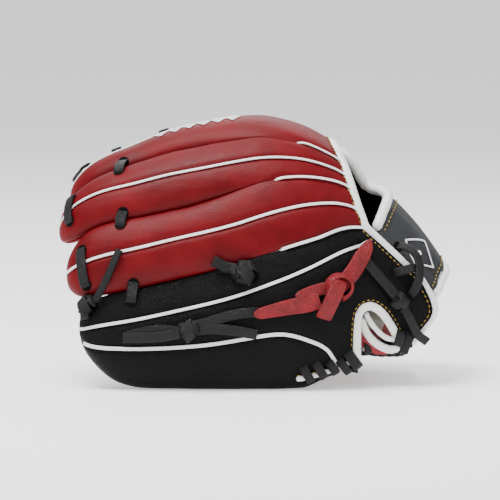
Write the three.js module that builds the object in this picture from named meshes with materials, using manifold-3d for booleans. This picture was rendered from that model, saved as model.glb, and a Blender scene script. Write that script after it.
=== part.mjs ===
// A left-hand baseball fielder's glove, standing on the outer edges of its little finger and thumb,
// palm side down, fingertips towards -X, wrist towards +X, little finger towards -Y. Millimetres, +Z up.
//
// Every sewn panel, welt, binding and lace is placed on one curved arch that spans the glove from the little
// finger's edge over the backs of the fingers to the thumb's edge. A place on it is x (along the fingers),
// turn (degrees around the arch: 0 at the crown, negative on the little finger's side) and depth below it.
import * as THREE from 'three';
import { LoftGeometry } from 'three/addons/geometries/LoftGeometry.js';
import { mergeVertices } from 'three/addons/utils/BufferGeometryUtils.js';
import Module from 'manifold-3d';

const wasm = await Module();
wasm.setup();

// ---- driving dimensions ----
const LEATHER = 3; // a back panel: leather and its felt lining
const PALM = 5; // the palm: two layers of leather and a thin pad
const GAP = 0.4; // clearance between neighbouring pieces
const WELT_RADIUS = 1.3;
const BINDING_RADIUS = 3.4;
const LACE_WIDTH = 7;
const LACE_THICKNESS = 2.4;
const STRAP_THICKNESS = 4;
const VALLEY = 9; // how deep the creases between finger stalls are
const TUCK = 20; // how far the little finger's and thumb's outer panels turn under
const STALL_FRONT = 13; // how far a stall's front bulges past its crease
const SECTION_POWER = 2.2;
const CROTCH_X = -16; // where the finger fronts grow out of the palm
const MIDDLE_X = 2.2; // the middle of the whole glove, from the arch's own origin
const MIDDLE_Y = -3.8;

// ---- small helpers ----
const rad = THREE.MathUtils.degToRad;
const lerp = THREE.MathUtils.lerp;
const range = (count) => Array.from({ length: count + 1 }, (_, i) => i / count);

// A smooth function of x through [x, value] knots.
function through(knots) {
  const last = knots.length - 1;
  const slope = (i) => {
    const a = knots[Math.max(i - 1, 0)];
    const b = knots[Math.min(i + 1, last)];
    return (b[1] - a[1]) / (b[0] - a[0]);
  };
  return (x) => {
    const at = THREE.MathUtils.clamp(x, knots[0][0], knots[last][0]);
    let i = 0;
    while (i < last - 1 && at > knots[i + 1][0]) i++;
    const width = knots[i + 1][0] - knots[i][0];
    const t = (at - knots[i][0]) / width;
    const start = knots[i][1];
    const end = knots[i + 1][1];
    return (
      start * (2 * t ** 3 - 3 * t * t + 1) +
      slope(i) * width * (t ** 3 - 2 * t * t + t) +
      end * (3 * t * t - 2 * t ** 3) +
      slope(i + 1) * width * (t ** 3 - t * t)
    );
  };
}

// ---- the arch ----
const crownHeight = through([
  [-142, 116], [-131, 131], [-120, 142.5], [-105, 153], [-84, 162], [-50, 175], [0, 183.5],
  [30, 179], [57, 165.5], [80, 146], [100, 126], [120, 103], [138, 78],
]);
const halfWidth = through([
  [-142, 57], [-120, 70], [-90, 79], [-50, 84], [0, 86], [40, 82], [70, 73], [100, 61], [120, 54], [138, 49],
]);
const centreHeight = through([
  [-142, 34], [-50, 30], [0, 30], [40, 34], [70, 44], [100, 53], [138, 55],
]);

function archPoint(x, turn) {
  const rise = crownHeight(x) - centreHeight(x);
  return new THREE.Vector3(
    x,
    halfWidth(x) * Math.sin(rad(turn)),
    centreHeight(x) + rise * Math.cos(rad(turn)),
  );
}

function archNormal(x, turn) {
  const step = 0.5;
  const along = archPoint(x + step, turn).sub(archPoint(x - step, turn));
  const around = archPoint(x, turn + step).sub(archPoint(x, turn - step));
  return along.cross(around).normalize();
}

const place = (x, turn, depth = 0) =>
  archPoint(x, turn).addScaledVector(archNormal(x, turn), -depth);

// The turn at which the arch passes height z, on the side given by sign.
function turnAt(x, z, side) {
  const cosine = (z - centreHeight(x)) / (crownHeight(x) - centreHeight(x));
  return (side * THREE.MathUtils.radToDeg(Math.acos(THREE.MathUtils.clamp(cosine, -1, 1))));
}

// ---- seam lines: the turn of each welt and crease as a function of x ----
const pinkySide = {
  edge: through([
    [-142, -95], [-121, -97], [-115, -99.7], [-98, -104], [-80, -105], [-50, -103.8], [0, -103],
    [43, -105.5],
    [62, -106.4], [76, -111], [92, -127], [138, -128],
  ]),
  lower: through([
    [-121, -92], [-80, -91], [-35, -89.3], [10, -87], [26, -87.3], [43, -90.5], [54, -95], [63, -103],
    [72, -109],
    [92, -127], [138, -128],
  ]),
  upper: through([
    [-121, -85.5], [-49, -79.7], [0, -75.2], [43, -68.5], [78, -58.8], [86, -53], [138, -48],
  ]),
};
const mirrored = (seam) => (x) => -seam(x);
const indexEdge = through([[-132, 14], [-50, 15], [0, 16], [57, 14]]);
const webWidth = through([
  [-105, 52], [-50, 45], [-20, 30], [0, 12], [15, 3.5], [30, 1.5], [57, 0.7], [90, 0.7],
]);
// The far edge of the opening across the back: the thumb's panel dips away from the crown and comes back
// to it where the wrist strap joins.
const farEdge = through([
  [57, 14.7], [66, 11.5], [73, 15], [77, 22], [81, 28], [86, 27], [91, 22], [95, 13], [99, 8.5], [138, 8],
]);
const line = {
  pinkyEdge: pinkySide.edge,
  pinkyLower: pinkySide.lower,
  pinkyUpper: pinkySide.upper,
  ringPinky: through([
    [-140, -76], [-105, -74], [-49, -70.7], [0, -66.6], [45, -60], [80, -51], [138, -46],
  ]),
  ring: through([[-140, -63.5], [-105, -61], [-49, -59], [0, -55.3], [70, -43.5]]),
  middleRing: through([[-140, -48], [-105, -47], [-49, -48.2], [0, -43.8], [66, -34.3]]),
  middle: through([[-140, -31], [-105, -33.3], [-49, -35.7], [0, -34.1], [62, -28]]),
  indexMiddle: through([[-140, -15], [-105, -17], [-49, -20], [0, -22], [58, -20.3]]),
  index: through([[-132, -1], [-80, 0], [-50, 3], [0, 8], [57, 9.5]]),
  indexEdge,
  thumbInner: (x) => (x < 57 ? indexEdge(x) + webWidth(x) : farEdge(x)),
  thumbUpper: mirrored(pinkySide.upper),
  thumbLower: mirrored(pinkySide.lower),
  thumbEdge: mirrored(pinkySide.edge),
};

// The wrist end of the finger backs, by turn: the edge of the opening across the back of the hand.
const backEdge = through([
  [-62, 86], [-54, 83.5], [-49.8, 80.5], [-38, 73.5], [-22.4, 66.5], [-10, 60.5], [0, 58], [15, 57],
]);

// ---- finger stalls ----
const STALLS = {
  pinky: {
    low: line.pinkyEdge, high: line.ringPinky, tip: -121,
    lowRecess: TUCK, highRecess: VALLEY, cap: 32, power: 3.2,
  },
  ring: {
    low: line.ringPinky, high: line.middleRing, tip: -132,
    lowRecess: VALLEY, highRecess: VALLEY, cap: 24, power: 2.3,
  },
  middle: {
    low: line.middleRing, high: line.indexMiddle, tip: -139,
    lowRecess: VALLEY, highRecess: VALLEY, cap: 26, power: 2.3,
  },
  index: {
    low: line.indexMiddle, high: line.indexEdge, tip: -132,
    lowRecess: VALLEY, highRecess: VALLEY, cap: 26, power: 2.3,
  },
  thumb: {
    low: line.thumbInner, high: line.thumbEdge, tip: -104,
    lowRecess: VALLEY, highRecess: TUCK, cap: 36, power: 2.8,
  },
};

// How far the creases have opened at x: shut flat at the wrist, full depth along the fingers.
const creaseShare = (x) => THREE.MathUtils.smoothstep(28 - x, 0, 75) * 0.92 + 0.04;

// A point on a stall. across runs -1 to 1 from its low crease to its high one; inset thins the section
// evenly, so that the same call gives the inner face of its leather. front puts it on the pocket side.
function stallPoint(stall, x, across, inset = 0, front = false) {
  const mid = (stall.low(x) + stall.high(x)) / 2;
  const insetTurn = THREE.MathUtils.radToDeg((inset + GAP / 2) / halfWidth(x));
  const half = (stall.high(x) - stall.low(x)) / 2 - insetTurn;
  const round = (1 - Math.abs(across) ** SECTION_POWER) ** (1 / SECTION_POWER);
  const tuckShare = THREE.MathUtils.smoothstep(92 - x, 0, 60);
  const share = (recess) => (recess === TUCK ? tuckShare : creaseShare(x)) * recess;
  const recess = across < 0 ? share(stall.lowRecess) : share(stall.highRecess);
  const chord = lerp(share(stall.lowRecess), share(stall.highRecess), (across + 1) / 2);
  const depth = front
    ? chord + LEATHER + 2 * GAP + (STALL_FRONT - LEATHER - 2 * GAP - inset) * round
    : recess * (1 - round) + inset;
  const point = place(x, mid + half * across, depth);
  const capStart = stall.tip + stall.cap;
  if (x >= capStart) return point;
  const along = Math.min((capStart - x) / stall.cap, 0.985);
  const shrink = (1 - along ** stall.power) ** (1 / stall.power);
  const core = place(x, mid, (STALL_FRONT + VALLEY) / 2);
  return core.lerp(point, shrink);
}

// Where across a stall a seam line runs at x, as an angle from 0 at the low crease to PI at the high one.
function seamAngle(stall, seam, x) {
  const mid = (stall.low(x) + stall.high(x)) / 2;
  const half = (stall.high(x) - stall.low(x)) / 2;
  return Math.acos(-THREE.MathUtils.clamp((seam(x) - mid) / half, -1, 1));
}

// x along a stall for f from 0 to 1, closer together round the cap.
function stationX(stall, startX, f) {
  const capStart = stall.tip + stall.cap;
  if (f < 0.6) return lerp(startX, capStart, f / 0.6);
  return capStart - stall.cap * 0.985 * Math.sin(((f - 0.6) / 0.4) * (Math.PI / 2));
}

// ---- solids ----
function signedVolume(sections) {
  let sum = 0;
  const columns = sections[0].length;
  for (let i = 0; i + 1 < sections.length; i++) {
    for (let j = 0; j < columns; j++) {
      const a = sections[i][j];
      const b = sections[i][(j + 1) % columns];
      const c = sections[i + 1][(j + 1) % columns];
      const d = sections[i + 1][j];
      sum += a.dot(b.clone().cross(d)) + b.dot(c.clone().cross(d));
    }
  }
  const cap = (ring, sign) => {
    for (let j = 1; j + 1 < columns; j++) sum += sign * ring[0].dot(ring[j + 1].clone().cross(ring[j]));
  };
  cap(sections[0], 1);
  cap(sections[sections.length - 1], -1);
  return sum;
}

// A closed solid skinned through rings of points, whichever way the rings are wound.
function loft(sections) {
  const wound = signedVolume(sections) < 0 ? sections.map((ring) => [...ring].reverse()) : sections;
  return new LoftGeometry(wound, { capStart: true, capEnd: true });
}

// A sheet between an outer and an inner face, each given by face(f, w) for f along and w across.
function sheet(outer, inner, alongSteps, acrossSteps) {
  return loft(
    range(alongSteps).map((f) => [
      ...range(acrossSteps).map((w) => outer(f, w)),
      ...range(acrossSteps).reverse().map((w) => inner(f, w)),
    ]),
  );
}

// A round cord along points.
function cord(points, radius, sides = 6) {
  const path = new THREE.CatmullRomCurve3(points);
  const section = new THREE.Shape(
    range(sides).slice(0, sides).map((f) => new THREE.Vector2(
      radius * Math.cos(2 * Math.PI * f),
      radius * Math.sin(2 * Math.PI * f),
    )),
  );
  const steps = points.length - 1;
  return new THREE.ExtrudeGeometry(section, { steps, extrudePath: path, bevelEnabled: false });
}

// A flat strap along points, lying square to the given face normals.
function strap(points, normals, width, thickness, steps = points.length * 2) {
  const path = new THREE.CatmullRomCurve3(points);
  const facing = new THREE.CatmullRomCurve3(normals);
  return loft(
    range(steps).map((f) => {
      const at = path.getPoint(f);
      const up = facing.getPoint(f).normalize();
      const side = path.getTangent(f).cross(up).normalize();
      return [[-1, -1], [1, -1], [1, 1], [-1, 1]].map(([a, b]) =>
        at.clone().addScaledVector(side, (a * width) / 2).addScaledVector(up, (b * thickness) / 2));
    }),
  );
}

const solidOf = (geometry) => {
  const bare = new THREE.BufferGeometry().copy(geometry);
  bare.deleteAttribute('normal');
  bare.deleteAttribute('uv');
  const merged = mergeVertices(bare, 1e-4);
  return new wasm.Manifold(new wasm.Mesh({
    numProp: 3,
    vertProperties: new Float32Array(merged.attributes.position.array),
    triVerts: new Uint32Array(merged.index.array),
  }));
};

const geometryOf = (solid) => {
  const made = solid.getMesh();
  const geometry = new THREE.BufferGeometry();
  geometry.setAttribute('position', new THREE.BufferAttribute(new Float32Array(made.vertProperties), 3));
  geometry.setIndex(new THREE.BufferAttribute(new Uint32Array(made.triVerts), 1));
  return geometry;
};

// A prism along Y over an outline of [x, z] points.
function prismAcross(outline, yLow, yHigh) {
  const shape = new THREE.Shape(outline.map(([x, z]) => new THREE.Vector2(x, z)));
  const prism = new THREE.ExtrudeGeometry(shape, { depth: yHigh - yLow, bevelEnabled: false });
  return prism.rotateX(Math.PI / 2).translate(0, yHigh, 0);
}

const GROUND = new THREE.BoxGeometry(600, 600, 100).translate(0, 0, -50);
const standing = (geometry) => geometryOf(solidOf(geometry).subtract(solidOf(GROUND)));

// ---- materials ----
const leather = (color, roughness) => new THREE.MeshStandardMaterial({ color, roughness, metalness: 0 });
const MATERIALS = {
  red: leather(0x9c1f28, 0.45),
  black: leather(0x1b1b1d, 0.5),
  white: leather(0xe6e4e0, 0.4),
  lace: leather(0x141415, 0.55),
  felt: leather(0xb9b2a4, 0.95),
};

const glove = new THREE.Group();
function add(name, geometry, material) {
  const mesh = new THREE.Mesh(geometry, MATERIALS[material]);
  mesh.name = name;
  glove.add(mesh);
}

// ---- the opening across the back of the hand ----
// Outlines in x and z: the edge of the opening across the back, and the notch above the heel.
const WALL_EDGE = [
  [76, 114], [80.5, 111], [87.5, 104], [103, 89.5], [108.5, 84], [115.5, 79], [121, 71], [127.4, 58],
  [127.8, 49], [122.5, 40.5], [116, 33.5], [112.5, 27],
];
const REAR_EDGE = [[135, 75], [134, 60], [130, 50], [122.5, 40.5], [116, 33.5], [112.5, 27]];
const NOTCH_EDGE = [
  [74.5, 14], [74.2, 29], [74.2, 41], [75, 51], [78.5, 56], [84, 57], [91, 52.5], [98, 42.5],
  [102.5, 33], [103, 25.5],
];
const NOTCH_RADIUS = 3.1;

const wallPoint = (side, depth) => ([x, z]) => place(x, turnAt(x, z, side), depth);

function largest(solid) {
  return solid.decompose().reduce((best, piece) => (piece.volume() > best.volume() ? piece : best));
}

const CREASE = 15; // the turn at which the glove folds
const alongTurns = (from, to, count) => range(count).map((f) => lerp(from, to, f));
const backEdgePoint = (turn) => place(backEdge(turn), turn, LEATHER / 2);
const OPENING = {
  fingers: [
    ...WALL_EDGE.slice(1).reverse().map(wallPoint(-1, LEATHER / 2)),
    ...alongTurns(-46, CREASE - 3, 12).map(backEdgePoint),
  ],
  thumb: alongTurns(61, 94, 9).map((x) => place(x, farEdge(x), LEATHER / 2)),
  rear: [
    ...alongTurns(12, 60, 6).map((turn) => place(135.5, turn, LEATHER / 2)),
    ...REAR_EDGE.slice(1).map(wallPoint(1, LEATHER / 2)),
  ],
};
const clearOfOpening = (geometry, half) =>
  geometryOf(largest(solidOf(geometry).subtract(solidOf(cord(OPENING[half], BINDING_RADIUS + 1)))));

// ---- stall backs ----
// One panel of a stall's back between two seam lines; each seam keeps clear of the welt that lies in it.
function backPanel(stall, from, to, alongSteps = 13, acrossSteps = 4, wristX = backEdge) {
  const clear = THREE.MathUtils.radToDeg((WELT_RADIUS + 0.5) / 80);
  const edgeClear = (BINDING_RADIUS + GAP) * 1.3;
  const face = (inset) => (f, w) => {
    const across = -Math.cos(lerp(seamAngle(stall, from, 72), seamAngle(stall, to, 72), w));
    const turn = lerp(stall.low(72), stall.high(72), (across + 1) / 2);
    const startX = wristX(turn) - edgeClear;
    const x = stationX(stall, startX, f);
    const low = seamAngle(stall, (at) => from(at) + (from === stall.low ? 0 : clear), x);
    const high = seamAngle(stall, (at) => to(at) - (to === stall.high ? 0 : clear), x);
    return stallPoint(stall, x, -Math.cos(lerp(low, high, w)), inset);
  };
  return sheet(face(0), face(LEATHER), alongSteps, acrossSteps);
}

// The pocket side of a stall.
function frontPanel(stall) {
  const face = (inset) => (f, w) =>
    stallPoint(stall, stationX(stall, CROTCH_X - GAP / 2, f), -Math.cos(Math.PI * w), inset, true);
  return sheet(face(0), face(LEATHER), 11, 6);
}

add('ring_back_outer', clearOfOpening(backPanel(STALLS.ring, line.ringPinky, line.ring), 'fingers'), 'red');
add('ring_back_inner', backPanel(STALLS.ring, line.ring, line.middleRing), 'red');
add('middle_back_outer', backPanel(STALLS.middle, line.middleRing, line.middle), 'red');
add('middle_back_inner', backPanel(STALLS.middle, line.middle, line.indexMiddle), 'red');
add('index_back_outer', backPanel(STALLS.index, line.indexMiddle, line.index), 'red');
add('index_back_inner', backPanel(STALLS.index, line.index, line.indexEdge), 'red');
const pinkyBack = backPanel(STALLS.pinky, line.pinkyUpper, line.ringPinky);
add('pinky_back_panel', clearOfOpening(pinkyBack, 'fingers'), 'black');
add(
  'thumb_back_panel',
  clearOfOpening(backPanel(STALLS.thumb, line.thumbInner, line.thumbUpper, 26, 6, () => 135.5), 'thumb'),
  'black',
);
for (const [name, stall] of Object.entries(STALLS)) {
  add(`${name}_front`, standing(frontPanel(stall)), 'red');
}

// ---- side walls of the little finger and the thumb ----
function sideWall(stall, side) {
  const [upper, lower] = side < 0
    ? [line.pinkyUpper, line.pinkyLower]
    : [line.thumbUpper, line.thumbLower];
  const clear = side * THREE.MathUtils.radToDeg((WELT_RADIUS + 0.5) / 80);
  const face = (inset) => (f, w) => {
    const x = stationX(stall, 137, f);
    const top = seamAngle(stall, (at) => upper(at) + clear, x);
    const bottom = seamAngle(stall, (at) => lower(at) - clear, x);
    return stallPoint(stall, x, -Math.cos(lerp(top, bottom, w)), inset);
  };
  const band = solidOf(sheet(face(0), face(LEATHER), 22, 5));
  const [yLow, yHigh] = side < 0 ? [-200, 0] : [0, 200];
  const edge = side < 0 ? WALL_EDGE : REAR_EDGE;
  const [[startX]] = edge;
  const beyond = [...edge, [112.5, -20], [200, -20], [200, 220], [startX, 220]];
  const notch = [...NOTCH_EDGE, [103, -20], [74.5, -20]];
  const below = [[100, 26], [121, 26], [121, -20], [100, -20]];
  const cuts = [beyond, notch, below].map((outline) => solidOf(prismAcross(outline, yLow, yHigh)));
  const rolls = [
    cord(side < 0 ? OPENING.fingers : OPENING.rear, BINDING_RADIUS + 1),
    cord(NOTCH_EDGE.map(wallPoint(side, LEATHER / 2)), NOTCH_RADIUS + 1),
    cord(weltPoints(stall, lower, 60), WELT_RADIUS + 0.8, 5),
  ].map(solidOf);
  return geometryOf(largest([...cuts, ...rolls].reduce((left, cut) => left.subtract(cut), band)));
}

add('pinky_side_wall', sideWall(STALLS.pinky, -1), 'black');
add('thumb_side_wall', sideWall(STALLS.thumb, 1), 'black');

// The outer panel under the lower welt, which turns under to the ground.
function outerPanel(stall, side) {
  const [lower, edge] = side < 0
    ? [line.pinkyLower, line.pinkyEdge]
    : [line.thumbLower, line.thumbEdge];
  const clear = side * THREE.MathUtils.radToDeg((WELT_RADIUS + 0.5) / 80);
  const face = (inset) => (f, w) => {
    const x = stationX(stall, 60, f);
    const top = seamAngle(stall, (at) => lower(at) + clear, x);
    const bottom = seamAngle(stall, edge, x);
    return stallPoint(stall, x, -Math.cos(lerp(top, bottom, w)), inset);
  };
  return standing(sheet(face(0), face(LEATHER), 18, 6));
}
add('pinky_outer_panel', outerPanel(STALLS.pinky, -1), 'black');
add('thumb_outer_panel', outerPanel(STALLS.thumb, 1), 'black');

// ---- palm ----
const palmWidth = through([[-20, 62], [20, 61], [50, 60], [75, 61], [100, 57], [104, 56]]);
const palmTop = through([[-20, 157], [20, 143], [50, 104], [75, 60], [88, 38], [104, 24]]);
const palmRim = (turn) =>
  through([[0, 98], [30, 100], [45, 97], [60, 86], [75, 72], [90, 64], [100, 62]])(Math.abs(turn));

function palmFace(x, turn) {
  const swing = rad(turn * 0.9);
  const height = 4 + (palmTop(x) - 4) * Math.cos(swing);
  const shaped = new THREE.Vector3(x, palmWidth(x) * Math.sin(swing), height);
  const following = place(x, turn, 22 + 5 * (turn / 100) ** 2);
  return following.lerp(shaped, THREE.MathUtils.smoothstep(x, CROTCH_X, 36));
}

function palmPoint(x, turn, lift) {
  const step = 0.5;
  const along = palmFace(x + step, turn).sub(palmFace(x - step, turn));
  const around = palmFace(x, turn + step).sub(palmFace(x, turn - step));
  const normal = along.cross(around).normalize();
  return palmFace(x, turn).addScaledVector(normal, lift);
}

// A layer of the palm between two heights above its pocket side.
function palmLayer(fromTurn, toTurn, low, high, short = 0) {
  const face = (height) => (f, w) => {
    const turn = lerp(fromTurn, toTurn, w);
    const x = lerp(CROTCH_X + GAP / 2, palmRim(turn) - short, f);
    return palmPoint(x, turn, typeof height === 'function' ? height(x, turn) : height);
  };
  return sheet(face(high), face(low), 10, 8);
}

function padTop(x, turn) {
  const nearHeel = THREE.MathUtils.smoothstep(x, 0, 45);
  const nearSides = THREE.MathUtils.smoothstep(Math.abs(turn - 5), 12, 50);
  return PALM + 2 * GAP + 2 + 4 * nearHeel * nearSides;
}
const HALVES = { fingers: [-90, CREASE - 0.2], thumb: [CREASE + 0.2, 90] };
for (const [half, [from, to]] of Object.entries(HALVES)) {
  const inward = half === 'fingers' ? 1 : -1;
  const outerEdge = half === 'fingers' ? from : to;
  const creaseEdge = half === 'fingers' ? to : from;
  add(`palm_${half}`, palmLayer(from, to, 0, PALM), 'red');
  const pad = palmLayer(outerEdge + inward * 9, creaseEdge - inward * 3, PALM + 2 * GAP, padTop, 12);
  add(`palm_pad_${half}`, pad, 'felt');
}

// ---- wrist strap ----
const STRAP_TUCK = 5.5; // how far under the side walls the strap's ends lie
const strapFront = through([
  [-75, 84], [-60, 85], [-53, 87.5], [-40, 92.4], [-30, 94.5], [-15, 97], [0, 98], [10, 98],
]);
const strapRear = through([[-78, 128], [-62, 134], [-45, 137], [0, 138], [10, 138]]);
const strapDepth = (turn) => STRAP_TUCK * THREE.MathUtils.smoothstep(-turn, 22, 48);
function strapPoint(x, turn, lift) {
  return place(x, turn, strapDepth(turn) + STRAP_THICKNESS - lift);
}
const strapFace = (lift) => (f, w) => {
  const turn = lerp(-76, 7, f);
  const edge = BINDING_RADIUS + GAP;
  return strapPoint(lerp(strapFront(turn) + edge, strapRear(turn) - edge, w), turn, lift);
};
add('wrist_strap', sheet(strapFace(STRAP_THICKNESS), strapFace(0), 16, 3), 'black');

const strapEdge = (edge, from, steps) =>
  alongTurns(from, 6.5, steps).map((turn) => strapPoint(edge(turn), turn, STRAP_THICKNESS / 2));
add('strap_front_binding', cord(strapEdge(strapFront, -45, 10), BINDING_RADIUS), 'white');
add('strap_rear_binding', cord(strapEdge(strapRear, -73, 13), BINDING_RADIUS), 'white');

// ---- bindings of the opening, the notches and the heel ----
add('opening_binding_fingers', cord(OPENING.fingers, BINDING_RADIUS), 'white');
add('opening_binding_thumb', cord(OPENING.thumb, BINDING_RADIUS), 'white');
add('rear_binding_thumb', cord(OPENING.rear, BINDING_RADIUS), 'white');
add('pinky_notch_binding', cord(NOTCH_EDGE.map(wallPoint(-1, LEATHER / 2)), NOTCH_RADIUS), 'white');
add('thumb_notch_binding', cord(NOTCH_EDGE.map(wallPoint(1, LEATHER / 2)), NOTCH_RADIUS), 'white');
for (const [half, [from, to]] of Object.entries(HALVES)) {
  const [rimFrom, rimTo] = half === 'fingers' ? [-74, to - 2] : [from + 2, 74];
  const rim = alongTurns(rimFrom, rimTo, 12).map((turn) => palmPoint(palmRim(turn) + 4.8, turn, PALM / 2));
  add(`heel_binding_${half}`, cord(rim, 2.8), 'white');
}

// ---- welts ----
// A welt along a seam of a stall, standing a little proud of the leather on both sides. It stops short of
// the fingertip by a share of the rounded cap.
function weltPoints(stall, seam, startX, short = 0.42) {
  const endX = stall.tip + stall.cap * short;
  return range(18).map((f) => {
    const x = lerp(startX, endX, f);
    return stallPoint(stall, x, -Math.cos(seamAngle(stall, seam, x)), 0.2);
  });
}
const welt = (stall, seam, startX, short) => cord(weltPoints(stall, seam, startX, short), WELT_RADIUS, 5);
const weltStart = (seam) => backEdge(seam(70)) - BINDING_RADIUS - 3 * GAP;
add('index_welt', welt(STALLS.index, line.index, weltStart(line.index), 0.55), 'white');
add('middle_welt', welt(STALLS.middle, line.middle, weltStart(line.middle)), 'white');
add('ring_welt', welt(STALLS.ring, line.ring, weltStart(line.ring)), 'white');
add('pinky_upper_welt', welt(STALLS.pinky, line.pinkyUpper, weltStart(line.pinkyUpper) - 9), 'white');
add('pinky_lower_welt', welt(STALLS.pinky, line.pinkyLower, 60), 'white');
add('thumb_upper_welt', welt(STALLS.thumb, line.thumbUpper, weltStart(line.thumbUpper) - 9), 'white');
add('thumb_lower_welt', welt(STALLS.thumb, line.thumbLower, 60), 'white');

// The piping that shows in the creases between the finger backs near the wrist, lying in the groove.
function creaseWelt(stall, seam, endX) {
  const startX = weltStart(seam) - 1;
  const points = range(10).map((f) => {
    const x = lerp(startX, endX, f);
    const recess = VALLEY * creaseShare(x);
    return place(x, seam(x), recess * 0.25 - WELT_RADIUS - 0.5);
  });
  return cord(points, WELT_RADIUS, 5);
}
add('ring_pinky_welt', creaseWelt(STALLS.ring, line.ringPinky, 24), 'white');
add('middle_ring_welt', creaseWelt(STALLS.middle, line.middleRing, 26), 'white');
add('index_middle_welt', creaseWelt(STALLS.index, line.indexMiddle, 26), 'white');

// ---- web between the index finger and the thumb ----
const WEB_THICKNESS = 4;
const webTop = (w) => lerp(-113, -92, w);
function webPoint(x, w, depth) {
  const margin = 1.4;
  return place(x, lerp(line.indexEdge(x) + margin, line.thumbInner(x) - margin, w), depth);
}
function webPiece(xFrom, xTo, wFrom, wTo, depth, steps = [6, 4]) {
  const limit = (value, w) => (typeof value === 'function' ? value(w) : value);
  const face = (inset) => (f, v) => {
    const w = lerp(wFrom, wTo, v);
    return webPoint(lerp(limit(xFrom, w), limit(xTo, w), f), w, depth + inset);
  };
  return sheet(face(0), face(WEB_THICKNESS), ...steps);
}
const WEB_DEPTH = 9;
add('web_index_post', webPiece(webTop, -14, 0, 0.3, WEB_DEPTH, [9, 3]), 'black');
add('web_thumb_post', webPiece(webTop, -14, 0.7, 1, WEB_DEPTH, [9, 3]), 'black');
add('web_top_bar', webPiece(webTop, (w) => webTop(w) + 20, 0.315, 0.685, WEB_DEPTH, [3, 4]), 'black');
add('web_middle_bar', webPiece(-70, -48, 0.315, 0.685, WEB_DEPTH, [3, 4]), 'black');
add('web_base', webPiece(-32, -14, 0.32, 0.68, WEB_DEPTH, [3, 4]), 'black');

// ---- laces ----
// A spot on the outside of a stall, for a lace or strap to lie on: where it is and which way it faces.
function spot(stall, x, across, lift) {
  const at = stallPoint(stall, x, across, 0);
  const step = 0.01;
  const along = stallPoint(stall, x + 0.3, across, 0).sub(stallPoint(stall, x - 0.3, across, 0));
  const low = THREE.MathUtils.clamp(across - step, -0.999, 0.999);
  const high = THREE.MathUtils.clamp(across + step, -0.999, 0.999);
  const around = stallPoint(stall, x, high, 0).sub(stallPoint(stall, x, low, 0));
  const facing = along.cross(around).normalize();
  return { at: at.addScaledVector(facing, lift), facing };
}

// The same, found by its height above the ground on the little finger's side, whichever stall is there.
function spotAtHeight([x, z, lift = LACE_LIFT]) {
  const { pinky, ring, middle, index } = STALLS;
  const stall = [pinky, ring, middle, index].find((one) => place(x, one.high(x), VALLEY).z > z) ?? index;
  let low = -0.98;
  let high = 0.98;
  for (let i = 0; i < 30; i++) {
    const mid = (low + high) / 2;
    if (stallPoint(stall, x, mid, 0).z < z) low = mid;
    else high = mid;
  }
  return spot(stall, x, (low + high) / 2, lift);
}

const LACE_LIFT = LACE_THICKNESS / 2 + 0.7; // the middle of a lace above the leather it lies on
const ribbon = (spots, width = LACE_WIDTH, thickness = LACE_THICKNESS, steps = spots.length * 2) =>
  strap(spots.map((s) => s.at), spots.map((s) => s.facing), width, thickness, steps);
const joined = (pieces) =>
  geometryOf(pieces.map(solidOf).reduce((whole, piece) => whole.add(piece)));


// Short laces over the fingertips: x, and how far across the stall each end lies.
for (const [name, from, to] of [
  ['index', [-118, -0.55], [-128, -0.1]],
  ['middle', [-127, -0.5], [-135, 0.1]],
  ['ring', [-120, -0.35], [-129, 0.3]],
]) {
  const stall = STALLS[name];
  const lift = LACE_LIFT + 0.4;
  const spots = range(3).map((f) => spot(stall, lerp(from[0], to[0], f), lerp(from[1], to[1], f), lift));
  add(`${name}_tip_lace`, ribbon(spots), 'lace');
}

// Laces that bridge the crease between two neighbouring stalls.
for (const [name, lower, upper, x] of [
  ['ring_pinky', STALLS.pinky, STALLS.ring, -80],
  ['middle_ring', STALLS.ring, STALLS.middle, -90],
  ['index_middle', STALLS.middle, STALLS.index, -91],
]) {
  const spots = [
    spot(lower, x + 2, 0.62, LACE_LIFT),
    spot(lower, x, 0.86, LACE_LIFT + 0.8),
    spot(upper, x - 2, -0.86, LACE_LIFT + 0.8),
    spot(upper, x - 4, -0.62, LACE_LIFT),
  ];
  add(`${name}_lace`, ribbon(spots), 'lace');
}

// Laces from the index finger's edge over to the web.
[[-93, 0.3], [-60, 0.4], [-30, 0.64]].forEach(([x, start], i) => {
  const web = (w, lift) => ({ at: webPoint(x, w, WEB_DEPTH - lift), facing: archNormal(x, 20) });
  const spots = [
    spot(STALLS.index, x, start, LACE_LIFT),
    spot(STALLS.index, x, lerp(start, 0.88, 0.5), LACE_LIFT),
    spot(STALLS.index, x, 0.88, LACE_LIFT + 0.6),
    web(0.03, LACE_LIFT + 3.4),
    web(0.14, LACE_LIFT),
  ];
  add(`web_lace_${i + 1}`, ribbon(spots), 'lace');
});

// The adjusting lace of the little finger: a tail, a knot and two runs towards the wrist.
function adjustLace() {
  const tail = [[-88, 40], [-70, 37.5], [-56, 37]].map(spotAtHeight);
  const upperRun = [[-40, 45, 3.2], [-16, 49], [4, 52]].map(spotAtHeight);
  const lowerRun = [[-40, 40, 3.2], [-18, 39.7, 2.4], [2, 41.6, 2.6]].map(spotAtHeight);
  const knot = [[-58, 37, 2.4], [-54, 37, 4], [-44, 43, 5], [-34, 48, 4]].map(spotAtHeight);
  const cross = [[-50, 48, 4], [-45, 43, 6], [-39, 38, 4]].map(spotAtHeight);
  return joined([ribbon(tail), ribbon(knot, 8, 5), ribbon(cross, 8, 5), ribbon(upperRun), ribbon(lowerRun)]);
}
add('pinky_adjust_lace', adjustLace(), 'lace');

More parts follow.
